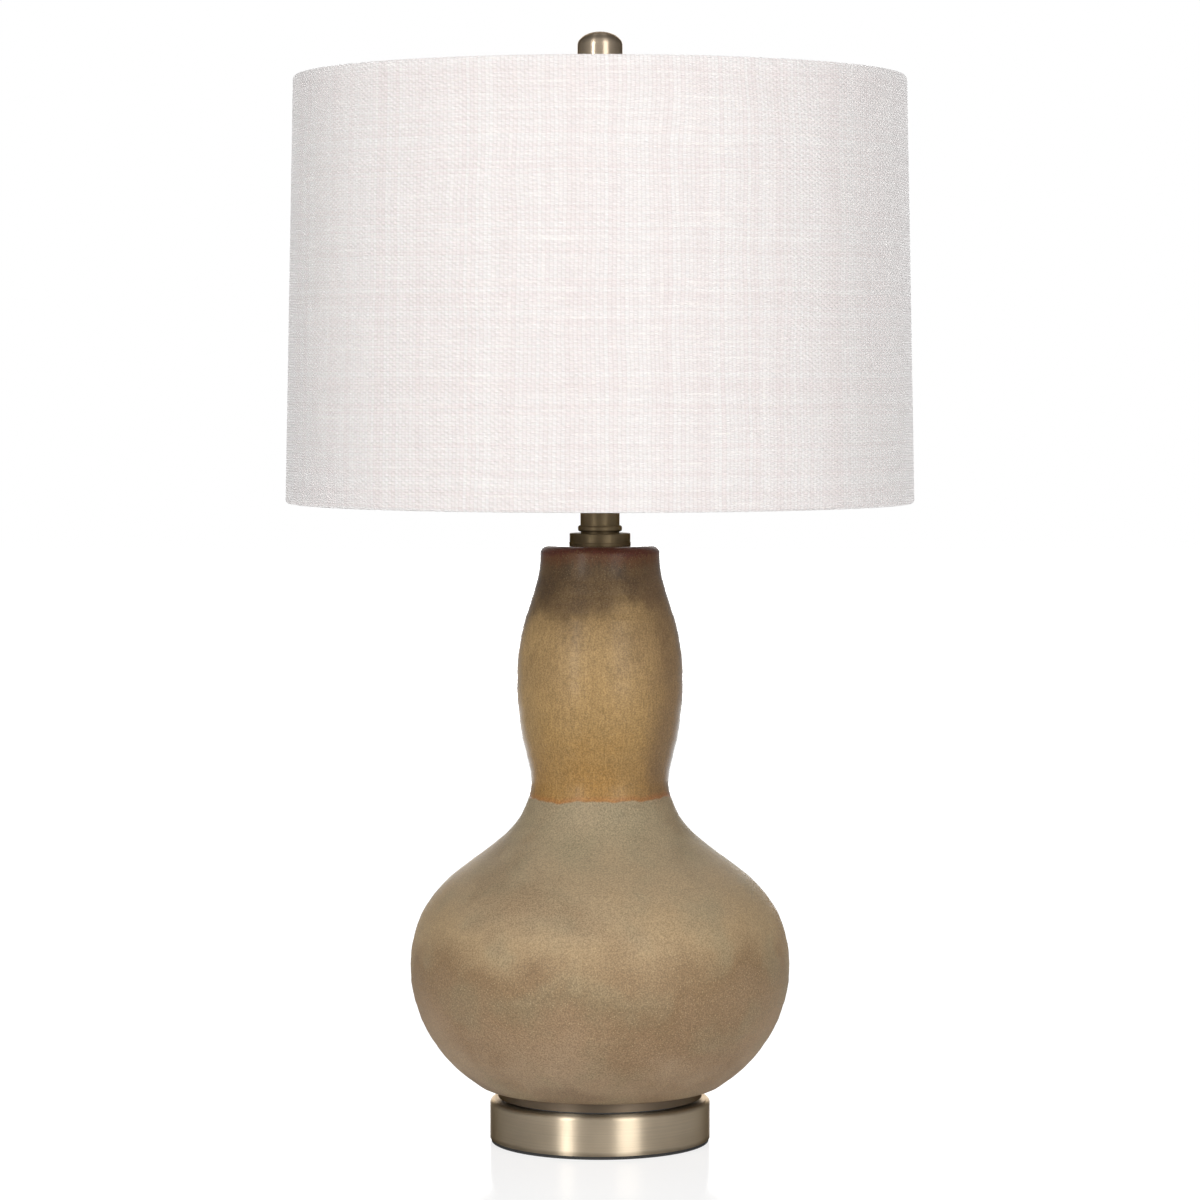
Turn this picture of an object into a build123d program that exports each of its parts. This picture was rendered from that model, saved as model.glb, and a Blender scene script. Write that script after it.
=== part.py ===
from build123d import *
import math
import os

# Table lamp with a ceramic double gourd body, a round metal base and a drum shade.
# Millimetres, +Z up. The origin is the centre of the pad's underside, on the table.
# The front of the lamp faces -Y, and the harp stands in the XZ plane.

os.makedirs("parts", exist_ok=True)

# ---------------------------------------------------------------- driving dimensions
# Drum base
DRUM_RADIUS = 71.7
DRUM_HEIGHT = 25.3
DRUM_WALL = 1.2
DRUM_EDGE_ROUND = 2.5
PAD_THICKNESS = 2.1
PAD_INSET = 0.8
WEIGHT_THICKNESS = 11.0
WEIGHT_BOSS_RADIUS = 20.0
WEIGHT_CLEARANCE = 0.3
NUT_POCKET_RADIUS = 16.0
NUT_POCKET_DEPTH = 9.0
CORD_CHANNEL_WIDTH = 8.0
CORD_CHANNEL_DEPTH = 8.0

# Cord bushing in the rear of the drum
BUSHING_BORE_RADIUS = 3.5
BUSHING_NECK_RADIUS = 5.0
BUSHING_FLANGE_RADIUS = 7.0
BUSHING_FLANGE = 1.6
BUSHING_ROUND = 0.8
BUSHING_FIT = 0.05
BUSHING_BARB = 0.6
BUSHING_BARB_LENGTH = 3.0
BUSHING_HEIGHT = 9.9
BUSHING_NOTCH_DEPTH = 18.0

# Seat collar between the drum and the gourd
COLLAR_RADIUS = 66.5
COLLAR_HEIGHT = 6.1
COLLAR_WALL = 1.2
COLLAR_EDGE_ROUND = 0.8
SHADOW_GAP = 2.0
SPACER_RADIUS = 60.0
SEAT_GASKET_THICKNESS = 1.0
SEAT_GASKET_INSET = 1.3
SEAT_GASKET_WIDTH = 14.0

# Gourd: radii and heights above its foot, where the outline is upright
GOURD_HEIGHT = 352.3
FOOT_RADIUS = 77.4
BELLY_RADIUS = 123.6
BELLY_HEIGHT = 77.3
WAIST_RADIUS = 44.9
WAIST_HEIGHT = 201.8
BULGE_RADIUS = 54.3
BULGE_HEIGHT = 264.6
LIP_RADIUS = 39.1
LIP_BAND = 5.6
# How far each curve keeps its starting direction, as a share of the height that it spans
FOOT_ANGLE = 31.5
FOOT_FULLNESS_SHARE = 0.5614
BELLY_BELOW_SHARE = 0.2587
BELLY_ABOVE_SHARE = 0.6056
WAIST_BELOW_SHARE = 0.4610
WAIST_ABOVE_SHARE = 0.1433
BULGE_BELOW_SHARE = 0.5701
BULGE_ABOVE_SHARE = 0.5384
LIP_FULLNESS_SHARE = 0.3410
LIP_ROUND = 3.0
FOOT_ROUND = 1.0
GOURD_WALL = 6.0
GOURD_FLOOR = 7.0
GOURD_CEILING = 8.0
FOOT_HOLE_RADIUS = 46.0
NECK_HOLE_RADIUS = 11.5

# Neck fittings
PIPE_RADIUS = 4.8
PIPE_BORE_RADIUS = 3.2
PIPE_CLEARANCE = 0.2
PIPE_THREAD_CLEARANCE = 0.05
CAP_RADIUS = 19.7
CAP_HEIGHT = 7.6
CAP_FLANGE = 0.4
CAP_FLANGE_HEIGHT = 1.5
CAP_EDGE_ROUND = 0.4
CAP_SKIRT = 2.2
TOP_GASKET_THICKNESS = 1.0
SPIGOT_CLEARANCE = 0.3
SPIGOT_DEPTH = 4.0
RING_RADIUS = 14.3
RING_HEIGHT = 4.0
RING_ROUND = 1.5
RING_GROOVE = 1.2
RING_GROOVE_DEPTH = 1.8
TUBE_RADIUS = 12.7
TUBE_WALL = 0.8
TUBE_LENGTH = 47.4
NECK_CAP_RADIUS = 13.4
NECK_CAP_THICKNESS = 1.2
NECK_CAP_SPIGOT = 2.5

# Nuts and washers
NUT_FLATS = 14.0
PIPE_NUT_HEIGHT = 5.0
PIPE_WASHER_RADIUS = 12.0
PIPE_WASHER_THICKNESS = 1.6
PIPE_END = 1.0
SADDLE_NUT_HEIGHT = 3.5

# Harp
HARP_HEIGHT = 228.6
HARP_WIRE_RADIUS = 1.6
HARP_HALF_SPAN = 35.0
HARP_HALF_WIDTH = 57.0
HARP_CROWN_RADIUS = 45.0
HARP_LEG_STRAIGHT = 34.0
HARP_LEG_SPREAD = 34.0
HARP_LEG_LOWER_BEND = 18.0
HARP_LEG_UPPER_BEND = 40.0
SADDLE_THICKNESS = 1.5
SADDLE_WIDTH = 12.0
POST_RADIUS = 2.0
POST_HEIGHT = 9.3
SHOE_LENGTH = 12.0
SHOE_GAP = 0.3
SLEEVE_LENGTH = 15.0
SLEEVE_WALL = 1.4
SLEEVE_CLEARANCE = 0.1
CROWN_PAD_LENGTH = 16.0
CROWN_PAD_WIDTH = 9.0
STUD_THREAD_RADIUS = 3.175
STUD_THREAD_LENGTH = 12.0
STUD_SHANK_RADIUS = 2.5
STUD_FLANGE_RADIUS = 8.0
STUD_FLANGE = 1.6
STUD_HEAD_RADIUS = 4.0
STUD_HEAD = 1.2
STUD_CLEARANCE = 0.1

# Shade
SHADE_HEIGHT = 274.0
SHADE_BOTTOM_RADIUS = 203.2
SHADE_TAPER = 5.8
FABRIC_THICKNESS = 0.8
LINER_THICKNESS = 0.8
GLUE_GAP = 0.1
SHADE_WIRE_RADIUS = 1.2
HEM_HEIGHT = 7.0
HUB_RECESS = 10.0
HUB_RADIUS = 13.0
HUB_THICKNESS = 1.6
HUB_CLEARANCE = 0.4
ARM_RADIUS = 1.5
ARM_RISE_LENGTH = 14.0
ARM_BEND = 20.0
ARM_COUNT = 3
HEM_SLOT_CLEARANCE = 0.3

# Finial
FINIAL_TOP_HEIGHT = 37.8
FINIAL_BASE_RADIUS = 14.6
FINIAL_TOP_RADIUS = 13.7
FINIAL_SHOULDER = 6.5
FINIAL_SHOULDER_FULLNESS = 3.0
FINIAL_CROWN_FULLNESS = 8.0
FINIAL_FOOT_RADIUS = 9.0
FINIAL_FOOT_HEIGHT = 2.0
INSERT_RADIUS = 6.0
INSERT_LENGTH = 15.0
INSERT_CLEARANCE = 0.05

# Socket
SOCKET_HUB_RADIUS = 6.5
SOCKET_HUB_HEIGHT = 6.0
SOCKET_CAP_RADIUS = 16.6
SOCKET_CAP_HEIGHT = 17.0
SOCKET_CAP_RIM = 4.0
SOCKET_CAP_WALL = 0.8
SOCKET_SHELL_WALL = 0.6
SOCKET_SHELL_LENGTH = 44.0
SOCKET_SHELL_OVERLAP = 3.0
SOCKET_FIT = 0.2
SOCKET_LINER_WALL = 0.6
SOCKET_BODY_HEIGHT = 14.0
SCREW_SHELL_WALL = 0.5
SCREW_SHELL_HEIGHT = 24.0
SCREW_SHELL_FLANGE = 5.0
CONTACT_RADIUS = 3.0
CONTACT_HEIGHT = 2.0
CONTACT_ROUND = 0.5
TERMINAL_RADIUS = 2.6
TERMINAL_LENGTH = 3.0
TERMINAL_CLEARANCE = 0.05
TERMINAL_SLOT_WIDTH = 0.6
TERMINAL_SLOT_DEPTH = 0.9
SET_SCREW_RADIUS = 1.25
SET_SCREW_LENGTH = 5.0
SET_SCREW_HEIGHT = 2.6

# Rotary switch
STEM_RADIUS = 2.4
STEM_DEPTH = 9.0
STEM_REACH = 14.0
STEM_HOLE_CLEARANCE = 0.8
STEM_FIT = 0.05
STEM_HEIGHT = 6.0
KNOB_RADIUS = 7.0
KNOB_LENGTH = 13.0
KNOB_CORE_DEPTH = 9.0
KNOB_RIBS = 18
KNOB_GROOVE_RADIUS = 0.5
KNOB_ROUND = 1.0

# Bulb
BULB_CAP_RADIUS = 13.05
BULB_CAP_LENGTH = 21.0
BULB_CAP_WALL = 0.5
BULB_CAP_TAPER = 2.0
BULB_FIT = 0.25
BULB_CONTACT_GAP = 0.3
BULB_TIP_RADIUS = 4.0
BULB_TIP_HEIGHT = 1.6
BULB_TIP_ROUND = 0.8
BULB_INSULATOR_RADIUS = 9.5
BULB_INSULATOR_HEIGHT = 3.0
BULB_GLASS_IN_CAP = 6.0
BULB_GLASS_FIT = 0.2
BULB_RADIUS = 30.0
BULB_SHOULDER_HEIGHT = 58.0
BULB_GLASS_HEIGHT = 88.0
BULB_NECK_FULLNESS = 22.0
BULB_GLASS_WALL = 1.0
BULB_STEM_RADIUS = 3.0
BULB_STEM_FLARE = 1.5
BULB_STEM_HEIGHT = 36.0
FILAMENT_RADIUS = 0.5
FILAMENT_HALF_SPAN = 12.0
FILAMENT_RISE = 16.0
FILAMENT_BEND = 3.0

# ---------------------------------------------------------------- heights of the stack
z_drum = PAD_THICKNESS
z_drum_top = z_drum + DRUM_HEIGHT
z_drum_ceiling = z_drum_top - DRUM_WALL
z_collar = z_drum_top + SHADOW_GAP
z_collar_top = z_collar + COLLAR_HEIGHT
z_foot = z_collar_top + SEAT_GASKET_THICKNESS
z_waist = z_foot + WAIST_HEIGHT
z_lip = z_foot + GOURD_HEIGHT
z_cap_top = z_lip + CAP_HEIGHT
z_ring_top = z_cap_top + RING_GROOVE + RING_HEIGHT
z_tube_top = z_ring_top + TUBE_LENGTH
z_neck_top = z_tube_top + NECK_CAP_THICKNESS
z_saddle_top = z_neck_top + SADDLE_THICKNESS
z_post_top = z_saddle_top + POST_HEIGHT
z_socket = z_saddle_top + SADDLE_NUT_HEIGHT
z_socket_rim = z_socket + SOCKET_CAP_HEIGHT
z_shell = z_socket_rim - SOCKET_SHELL_OVERLAP
z_body = z_socket_rim + SOCKET_FIT
z_body_top = z_body + SOCKET_BODY_HEIGHT
z_stem = z_body + STEM_HEIGHT
z_tip = z_body_top + CONTACT_HEIGHT + BULB_CONTACT_GAP
z_insulator = z_tip + BULB_TIP_HEIGHT
z_bulb_cap = z_insulator + BULB_INSULATOR_HEIGHT
z_bulb_cap_top = z_bulb_cap + BULB_CAP_LENGTH
z_glass = z_bulb_cap_top - BULB_GLASS_IN_CAP
z_hub = z_saddle_top + HARP_HEIGHT
z_crown = z_hub - STUD_FLANGE - HARP_WIRE_RADIUS
z_hub_top = z_hub + HUB_THICKNESS
z_shade_top = z_hub + HUB_RECESS
z_shade = z_shade_top - SHADE_HEIGHT

# ---------------------------------------------------------------- shared radii
drum_inner = DRUM_RADIUS - DRUM_WALL
pipe_hole = PIPE_RADIUS + PIPE_CLEARANCE
thread_bore = PIPE_RADIUS + PIPE_THREAD_CLEARANCE
weight_radius = drum_inner - WEIGHT_CLEARANCE
z_pocket = z_drum + NUT_POCKET_DEPTH
z_pipe_nut = z_pocket - PIPE_WASHER_THICKNESS - PIPE_NUT_HEIGHT
z_bushing = z_drum + BUSHING_HEIGHT
spigot_radius = NECK_HOLE_RADIUS - SPIGOT_CLEARANCE
shell_inner = SOCKET_CAP_RADIUS + SOCKET_FIT
shell_outer = shell_inner + SOCKET_SHELL_WALL
liner_outer = shell_inner - SOCKET_FIT
liner_inner = liner_outer - SOCKET_LINER_WALL
body_radius = liner_inner - SOCKET_FIT
screw_shell_inner = BULB_CAP_RADIUS + BULB_FIT
sleeve_inner = POST_RADIUS + SLEEVE_CLEARANCE
glass_neck = BULB_CAP_RADIUS - BULB_CAP_WALL - BULB_GLASS_FIT
insert_bore = STUD_THREAD_RADIUS + INSERT_CLEARANCE


# ---------------------------------------------------------------- helpers
def outline_face(edges):
    """The face inside a closed outline, from (radius, height) into the XZ plane."""
    return Plane.XZ * make_face(edges)


def turned(points, rounds=()):
    """A turned piece: its outline as (radius, height) corners, and (corner, radius) roundings."""
    face = make_face(Polyline(*points, close=True))
    for corner, radius in rounds:
        vertex = face.vertices().sort_by_distance(points[corner])[0]
        face = fillet(vertex, radius)
    return revolve(Plane.XZ * face, Axis.Z)


def washer(outer, inner, bottom, top):
    """A flat ring, or a plain tube, between two heights."""
    return turned([(inner, bottom), (outer, bottom), (outer, top), (inner, top)])


def disc(radius, bottom, top):
    """A solid round disc between two heights."""
    return Pos(0, 0, bottom) * Cylinder(radius, top - bottom, align=(Align.CENTER, Align.CENTER, Align.MIN))


def block(x, y, z):
    """A box given by its low and high limits along each axis."""
    size = [high - low for low, high in (x, y, z)]
    middle = [(high + low) / 2 for low, high in (x, y, z)]
    return Pos(*middle) * Box(*size)


def hex_nut(bottom, height):
    """A hexagon nut on the lamp pipe."""
    corner_radius = NUT_FLATS / math.sqrt(3)
    nut = extrude(Pos(0, 0, bottom) * RegularPolygon(corner_radius, 6), height)
    return nut - disc(thread_bore, bottom, bottom + height)


def rod(path, radius):
    """A round wire along a path."""
    start = Plane(origin=path @ 0, z_dir=path % 0)
    return sweep(start * Circle(radius), path)


def rearward(radius, y_start, y_end, height):
    """A round bar along Y, between two places, at a height."""
    length = y_end - y_start
    return Pos(0, y_start, height) * Rot(-90, 0, 0) * Cylinder(
        radius, length, align=(Align.CENTER, Align.CENTER, Align.MIN)
    )


def frontward(radius, y_start, y_end, height):
    """A round bar from y_start towards -Y, ending at y_end."""
    return rearward(radius, y_end, y_start, height)


def save(shape, node):
    """Writes one node, and says what it holds."""
    shape.label = node
    export_step(shape, f"parts/{node}.step")
    print(f"{node}: {shape.volume / 1000:.2f} cm3")


# ---------------------------------------------------------------- base
def foot_pad():
    return disc(DRUM_RADIUS - PAD_INSET, 0, z_drum)


def base_shell():
    outline = [
        (drum_inner, z_drum),
        (DRUM_RADIUS, z_drum),
        (DRUM_RADIUS, z_drum_top),
        (pipe_hole, z_drum_top),
        (pipe_hole, z_drum_ceiling),
        (drum_inner, z_drum_ceiling),
    ]
    inner_round = DRUM_EDGE_ROUND - DRUM_WALL
    shell = turned(outline, [(2, DRUM_EDGE_ROUND), (5, inner_round)])
    return shell - rearward(BUSHING_NECK_RADIUS, 0, DRUM_RADIUS, z_bushing)


def base_weight():
    plate_top = z_drum + WEIGHT_THICKNESS
    weight = turned(
        [
            (pipe_hole, z_pocket),
            (NUT_POCKET_RADIUS, z_pocket),
            (NUT_POCKET_RADIUS, z_drum),
            (weight_radius, z_drum),
            (weight_radius, plate_top),
            (WEIGHT_BOSS_RADIUS, plate_top),
            (WEIGHT_BOSS_RADIUS, z_drum_ceiling),
            (pipe_hole, z_drum_ceiling),
        ]
    )
    half_channel = CORD_CHANNEL_WIDTH / 2
    half_notch = BUSHING_FLANGE_RADIUS + WEIGHT_CLEARANCE
    channel_top = z_drum + CORD_CHANNEL_DEPTH
    channel = block((-half_channel, half_channel), (0, DRUM_RADIUS), (z_drum, channel_top))
    notch_start = weight_radius - BUSHING_NOTCH_DEPTH
    notch = block((-half_notch, half_notch), (notch_start, DRUM_RADIUS), (z_drum, plate_top))
    return weight - channel - notch


def cord_bushing():
    barb_radius = BUSHING_NECK_RADIUS + BUSHING_BARB
    neck_radius = BUSHING_NECK_RADIUS - BUSHING_FIT
    flange_start = DRUM_RADIUS
    barb_end = math.sqrt(drum_inner**2 - barb_radius**2)
    barb_start = barb_end - BUSHING_BARB_LENGTH
    bushing = rearward(BUSHING_FLANGE_RADIUS, flange_start, flange_start + BUSHING_FLANGE, z_bushing)
    bushing += rearward(neck_radius, barb_start, flange_start, z_bushing)
    bushing += rearward(barb_radius, barb_start, barb_end, z_bushing)
    rim = bushing.edges().filter_by(GeomType.CIRCLE).sort_by(Axis.Y)[-1]
    bushing = fillet(rim, BUSHING_ROUND)
    return bushing - rearward(BUSHING_BORE_RADIUS, 0, flange_start + BUSHING_FLANGE, z_bushing)


def pipe_washer():
    return washer(PIPE_WASHER_RADIUS, pipe_hole, z_pocket - PIPE_WASHER_THICKNESS, z_pocket)


def pipe_nut():
    return hex_nut(z_pipe_nut, PIPE_NUT_HEIGHT)


def lamp_pipe():
    return washer(PIPE_RADIUS, PIPE_BORE_RADIUS, z_pipe_nut - PIPE_END, z_socket + SOCKET_HUB_HEIGHT)


# ---------------------------------------------------------------- seat collar and gourd
def collar_spacer():
    return washer(SPACER_RADIUS, pipe_hole, z_drum_top, z_collar_top - COLLAR_WALL)


def seat_collar():
    inner = COLLAR_RADIUS - COLLAR_WALL
    ceiling = z_collar_top - COLLAR_WALL
    outline = [
        (inner, z_collar),
        (COLLAR_RADIUS, z_collar),
        (COLLAR_RADIUS, z_collar_top),
        (pipe_hole, z_collar_top),
        (pipe_hole, ceiling),
        (inner, ceiling),
    ]
    return turned(outline, [(2, COLLAR_EDGE_ROUND)])


def seat_gasket():
    outer = COLLAR_RADIUS - SEAT_GASKET_INSET
    return washer(outer, outer - SEAT_GASKET_WIDTH, z_collar_top, z_foot)


def upright_curve(low, high, share_low, share_high):
    """A curve between two (radius, height) points that leaves both of them upright."""
    span = high[1] - low[1]
    return Bezier(
        (low[0], z_foot + low[1]),
        (low[0], z_foot + low[1] + share_low * span),
        (high[0], z_foot + high[1] - share_high * span),
        (high[0], z_foot + high[1]),
    )


def gourd_curves(inset, foot_height, lip_height):
    """The gourd's side between two heights, moved in by inset at its widest and narrowest."""
    belly = (BELLY_RADIUS - inset, BELLY_HEIGHT)
    waist = (WAIST_RADIUS - inset, WAIST_HEIGHT)
    bulge = (BULGE_RADIUS - inset, BULGE_HEIGHT)
    lip = (LIP_RADIUS - inset, lip_height)
    tilt = math.radians(FOOT_ANGLE)
    span = BELLY_HEIGHT - foot_height
    reach = FOOT_FULLNESS_SHARE * span
    z_start = z_foot + foot_height
    foot_curve = Bezier(
        (FOOT_RADIUS, z_start),
        (FOOT_RADIUS + reach * math.cos(tilt), z_start + reach * math.sin(tilt)),
        (belly[0], z_foot + BELLY_HEIGHT - BELLY_BELOW_SHARE * span),
        (belly[0], z_foot + BELLY_HEIGHT),
    )
    return [
        foot_curve,
        upright_curve(belly, waist, BELLY_ABOVE_SHARE, WAIST_BELOW_SHARE),
        upright_curve(waist, bulge, WAIST_ABOVE_SHARE, BULGE_BELOW_SHARE),
        upright_curve(bulge, lip, BULGE_ABOVE_SHARE, LIP_FULLNESS_SHARE),
    ]


def gourd():
    """A hollow glazed body: the outer form less the space inside it and its two holes."""
    side = gourd_curves(0, 0, GOURD_HEIGHT - LIP_BAND)
    edges = side + [
        Line((LIP_RADIUS, z_lip - LIP_BAND), (LIP_RADIUS, z_lip)),
        Line((LIP_RADIUS, z_lip), (0, z_lip)),
        Line((0, z_lip), (0, z_foot)),
        Line((0, z_foot), (FOOT_RADIUS, z_foot)),
    ]
    face = make_face(edges)
    lip_corner = face.vertices().sort_by_distance((LIP_RADIUS, z_lip))[0]
    face = fillet(lip_corner, LIP_ROUND)
    foot_corner = face.vertices().sort_by_distance((FOOT_RADIUS, z_foot))[0]
    face = fillet(foot_corner, FOOT_ROUND)
    outside = revolve(Plane.XZ * face, Axis.Z)

    ceiling = GOURD_HEIGHT - GOURD_CEILING
    room = gourd_curves(GOURD_WALL, GOURD_FLOOR, ceiling)
    room_edges = room + [
        Line((LIP_RADIUS - GOURD_WALL, z_foot + ceiling), (0, z_foot + ceiling)),
        Line((0, z_foot + ceiling), (0, z_foot + GOURD_FLOOR)),
        Line((0, z_foot + GOURD_FLOOR), (FOOT_RADIUS, z_foot + GOURD_FLOOR)),
    ]
    inside = revolve(outline_face(room_edges), Axis.Z)
    foot_hole = disc(FOOT_HOLE_RADIUS, z_foot, z_foot + GOURD_FLOOR)
    neck_hole = disc(NECK_HOLE_RADIUS, z_foot + ceiling, z_lip)
    return outside - inside - foot_hole - neck_hole


def gourd_lower():
    """The wide pot, thrown on its own and open at the waist."""
    return split(gourd(), bisect_by=Plane.XY.offset(z_waist), keep=Keep.BOTTOM)


def gourd_upper():
    """The small pot that is joined to the wide one at the waist."""
    return split(gourd(), bisect_by=Plane.XY.offset(z_waist), keep=Keep.TOP)


# ---------------------------------------------------------------- neck
def top_gasket():
    return washer(
        CAP_RADIUS - CAP_SKIRT - SPIGOT_CLEARANCE,
        NECK_HOLE_RADIUS,
        z_lip,
        z_lip + TOP_GASKET_THICKNESS,
    )


def vase_cap():
    skirt_inner = CAP_RADIUS - CAP_SKIRT
    outline = [
        (pipe_hole, z_lip - SPIGOT_DEPTH),
        (spigot_radius, z_lip - SPIGOT_DEPTH),
        (spigot_radius, z_lip + TOP_GASKET_THICKNESS),
        (skirt_inner, z_lip + TOP_GASKET_THICKNESS),
        (skirt_inner, z_lip),
        (CAP_RADIUS + CAP_FLANGE, z_lip),
        (CAP_RADIUS + CAP_FLANGE, z_lip + CAP_FLANGE_HEIGHT),
        (CAP_RADIUS, z_lip + CAP_FLANGE_HEIGHT + CAP_FLANGE),
        (CAP_RADIUS, z_cap_top),
        (pipe_hole, z_cap_top),
    ]
    return turned(outline, [(8, CAP_EDGE_ROUND)])


def neck_ring():
    z_bead = z_cap_top + RING_GROOVE
    groove_radius = RING_RADIUS - RING_GROOVE_DEPTH
    outline = [
        (pipe_hole, z_cap_top),
        (groove_radius, z_cap_top),
        (groove_radius, z_bead),
        (RING_RADIUS, z_bead),
        (RING_RADIUS, z_ring_top),
        (pipe_hole, z_ring_top),
    ]
    return turned(outline, [(3, RING_ROUND), (4, RING_ROUND)])


def neck_tube():
    return washer(TUBE_RADIUS, TUBE_RADIUS - TUBE_WALL, z_ring_top, z_tube_top)


def neck_cap():
    spigot = TUBE_RADIUS - TUBE_WALL - PIPE_CLEARANCE
    return turned(
        [
            (pipe_hole, z_tube_top - NECK_CAP_SPIGOT),
            (spigot, z_tube_top - NECK_CAP_SPIGOT),
            (spigot, z_tube_top),
            (NECK_CAP_RADIUS, z_tube_top),
            (NECK_CAP_RADIUS, z_neck_top),
            (pipe_hole, z_neck_top),
        ]
    )


# ---------------------------------------------------------------- harp
def harp_saddle():
    half_length = HARP_HALF_SPAN + SADDLE_WIDTH / 2
    strip = extrude(Pos(0, 0, z_neck_top) * SlotOverall(2 * half_length, SADDLE_WIDTH), SADDLE_THICKNESS)
    for side in (-1, 1):
        post = disc(POST_RADIUS, z_neck_top, z_post_top)
        strip += Pos(side * HARP_HALF_SPAN, 0, 0) * post
    return strip - disc(pipe_hole, z_neck_top, z_saddle_top)


def saddle_nut():
    return hex_nut(z_saddle_top, SADDLE_NUT_HEIGHT)


def harp_wire():
    """One bent wire with a shoe at each foot and a flattened, drilled crown."""
    z_shoe = z_post_top + SHOE_GAP
    z_bend = z_saddle_top + HARP_LEG_STRAIGHT
    z_wide = z_bend + HARP_LEG_SPREAD
    left = [
        (-HARP_HALF_SPAN, 0, z_shoe),
        (-HARP_HALF_SPAN, 0, z_bend),
        (-HARP_HALF_WIDTH, 0, z_wide),
        (-HARP_HALF_WIDTH, 0, z_crown),
    ]
    right = [(-x, y, z) for x, y, z in reversed(left)]
    bends = [HARP_LEG_LOWER_BEND, HARP_LEG_UPPER_BEND, HARP_CROWN_RADIUS]
    path = FilletPolyline(*left, *right, radius=bends + bends[::-1])
    wire = rod(path, HARP_WIRE_RADIUS)
    for side in (-1, 1):
        shoe = disc(POST_RADIUS, z_shoe, z_shoe + SHOE_LENGTH)
        wire += Pos(side * HARP_HALF_SPAN, 0, 0) * shoe
    half_length = CROWN_PAD_LENGTH / 2
    half_width = CROWN_PAD_WIDTH / 2
    pad_bottom = z_crown - HARP_WIRE_RADIUS
    pad_top = z_crown + HARP_WIRE_RADIUS
    wire += block((-half_length, half_length), (-half_width, half_width), (pad_bottom, pad_top))
    return wire - disc(STUD_SHANK_RADIUS + STUD_CLEARANCE, pad_bottom, pad_top)


def harp_sleeve(side):
    sleeve = washer(
        sleeve_inner + SLEEVE_WALL, sleeve_inner, z_saddle_top, z_saddle_top + SLEEVE_LENGTH
    )
    return Pos(side * HARP_HALF_SPAN, 0, 0) * sleeve


def harp_stud():
    z_pad_bottom = z_crown - HARP_WIRE_RADIUS
    z_flange = z_hub - STUD_FLANGE
    return turned(
        [
            (0, z_pad_bottom - STUD_HEAD),
            (STUD_HEAD_RADIUS, z_pad_bottom - STUD_HEAD),
            (STUD_HEAD_RADIUS, z_pad_bottom),
            (STUD_SHANK_RADIUS, z_pad_bottom),
            (STUD_SHANK_RADIUS, z_flange),
            (STUD_FLANGE_RADIUS, z_flange),
            (STUD_FLANGE_RADIUS, z_hub),
            (STUD_THREAD_RADIUS, z_hub),
            (STUD_THREAD_RADIUS, z_hub + STUD_THREAD_LENGTH),
            (0, z_hub + STUD_THREAD_LENGTH),
        ]
    )


# ---------------------------------------------------------------- shade
def shade_radius(height):
    """The shade's outer radius at a height."""
    share = (height - z_shade) / SHADE_HEIGHT
    return SHADE_BOTTOM_RADIUS - share * SHADE_TAPER


def liner_radius(height):
    """The liner's inner radius at a height."""
    return shade_radius(height) - FABRIC_THICKNESS - GLUE_GAP - LINER_THICKNESS


def shade_ring_place(end):
    """The radius and height of a rim wire's centre: end is +1 at the top, -1 at the bottom."""
    rim = z_shade_top if end > 0 else z_shade
    height = rim - end * (FABRIC_THICKNESS + GLUE_GAP + SHADE_WIRE_RADIUS)
    return liner_radius(height) - GLUE_GAP - SHADE_WIRE_RADIUS, height


def shade_ring(end):
    radius, height = shade_ring_place(end)
    return Pos(0, 0, height) * Torus(radius, SHADE_WIRE_RADIUS)


def shade_fabric():
    """Fabric laid round the liner and turned in over the rim wires."""
    outline = []
    for end in (-1, 1):
        rim = z_shade_top if end > 0 else z_shade
        ring, _ = shade_ring_place(end)
        hem_face = ring - SHADE_WIRE_RADIUS - GLUE_GAP
        hem_back = hem_face - FABRIC_THICKNESS
        fold = rim - end * FABRIC_THICKNESS
        hem_end = rim - end * HEM_HEIGHT
        corners = [
            (shade_radius(fold) - FABRIC_THICKNESS, fold),
            (hem_face, fold),
            (hem_face, hem_end),
            (hem_back, hem_end),
            (hem_back, rim),
            (shade_radius(rim), rim),
        ]
        outline += corners if end < 0 else corners[::-1]
    fabric = turned(outline)
    for slot in round_arms(arm_rod(ARM_RADIUS + HEM_SLOT_CLEARANCE)):
        fabric -= slot
    return fabric


def shade_liner():
    low = z_shade + FABRIC_THICKNESS + GLUE_GAP
    high = z_shade_top - FABRIC_THICKNESS - GLUE_GAP
    return turned(
        [
            (liner_radius(low), low),
            (liner_radius(low) + LINER_THICKNESS, low),
            (liner_radius(high) + LINER_THICKNESS, high),
            (liner_radius(high), high),
        ]
    )


def spider_hub():
    return washer(HUB_RADIUS, STUD_THREAD_RADIUS + HUB_CLEARANCE, z_hub, z_hub_top)


def arm_rod(radius):
    """An arm's line along +X, from the hub to the top ring, at a thickness."""
    ring_radius, ring_height = shade_ring_place(1)
    height = z_hub + HUB_THICKNESS / 2
    path = FilletPolyline(
        (HUB_RADIUS - ARM_RADIUS, 0, height),
        (ring_radius - ARM_RISE_LENGTH, 0, height),
        (ring_radius - GLUE_GAP, 0, ring_height - SHADE_WIRE_RADIUS),
        radius=ARM_BEND,
    )
    return rod(path, radius)


def round_arms(piece):
    """Copies of a piece at each arm: the first points to the rear."""
    return [Rot(0, 0, 90 + number * 360 / ARM_COUNT) * piece for number in range(ARM_COUNT)]


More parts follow.
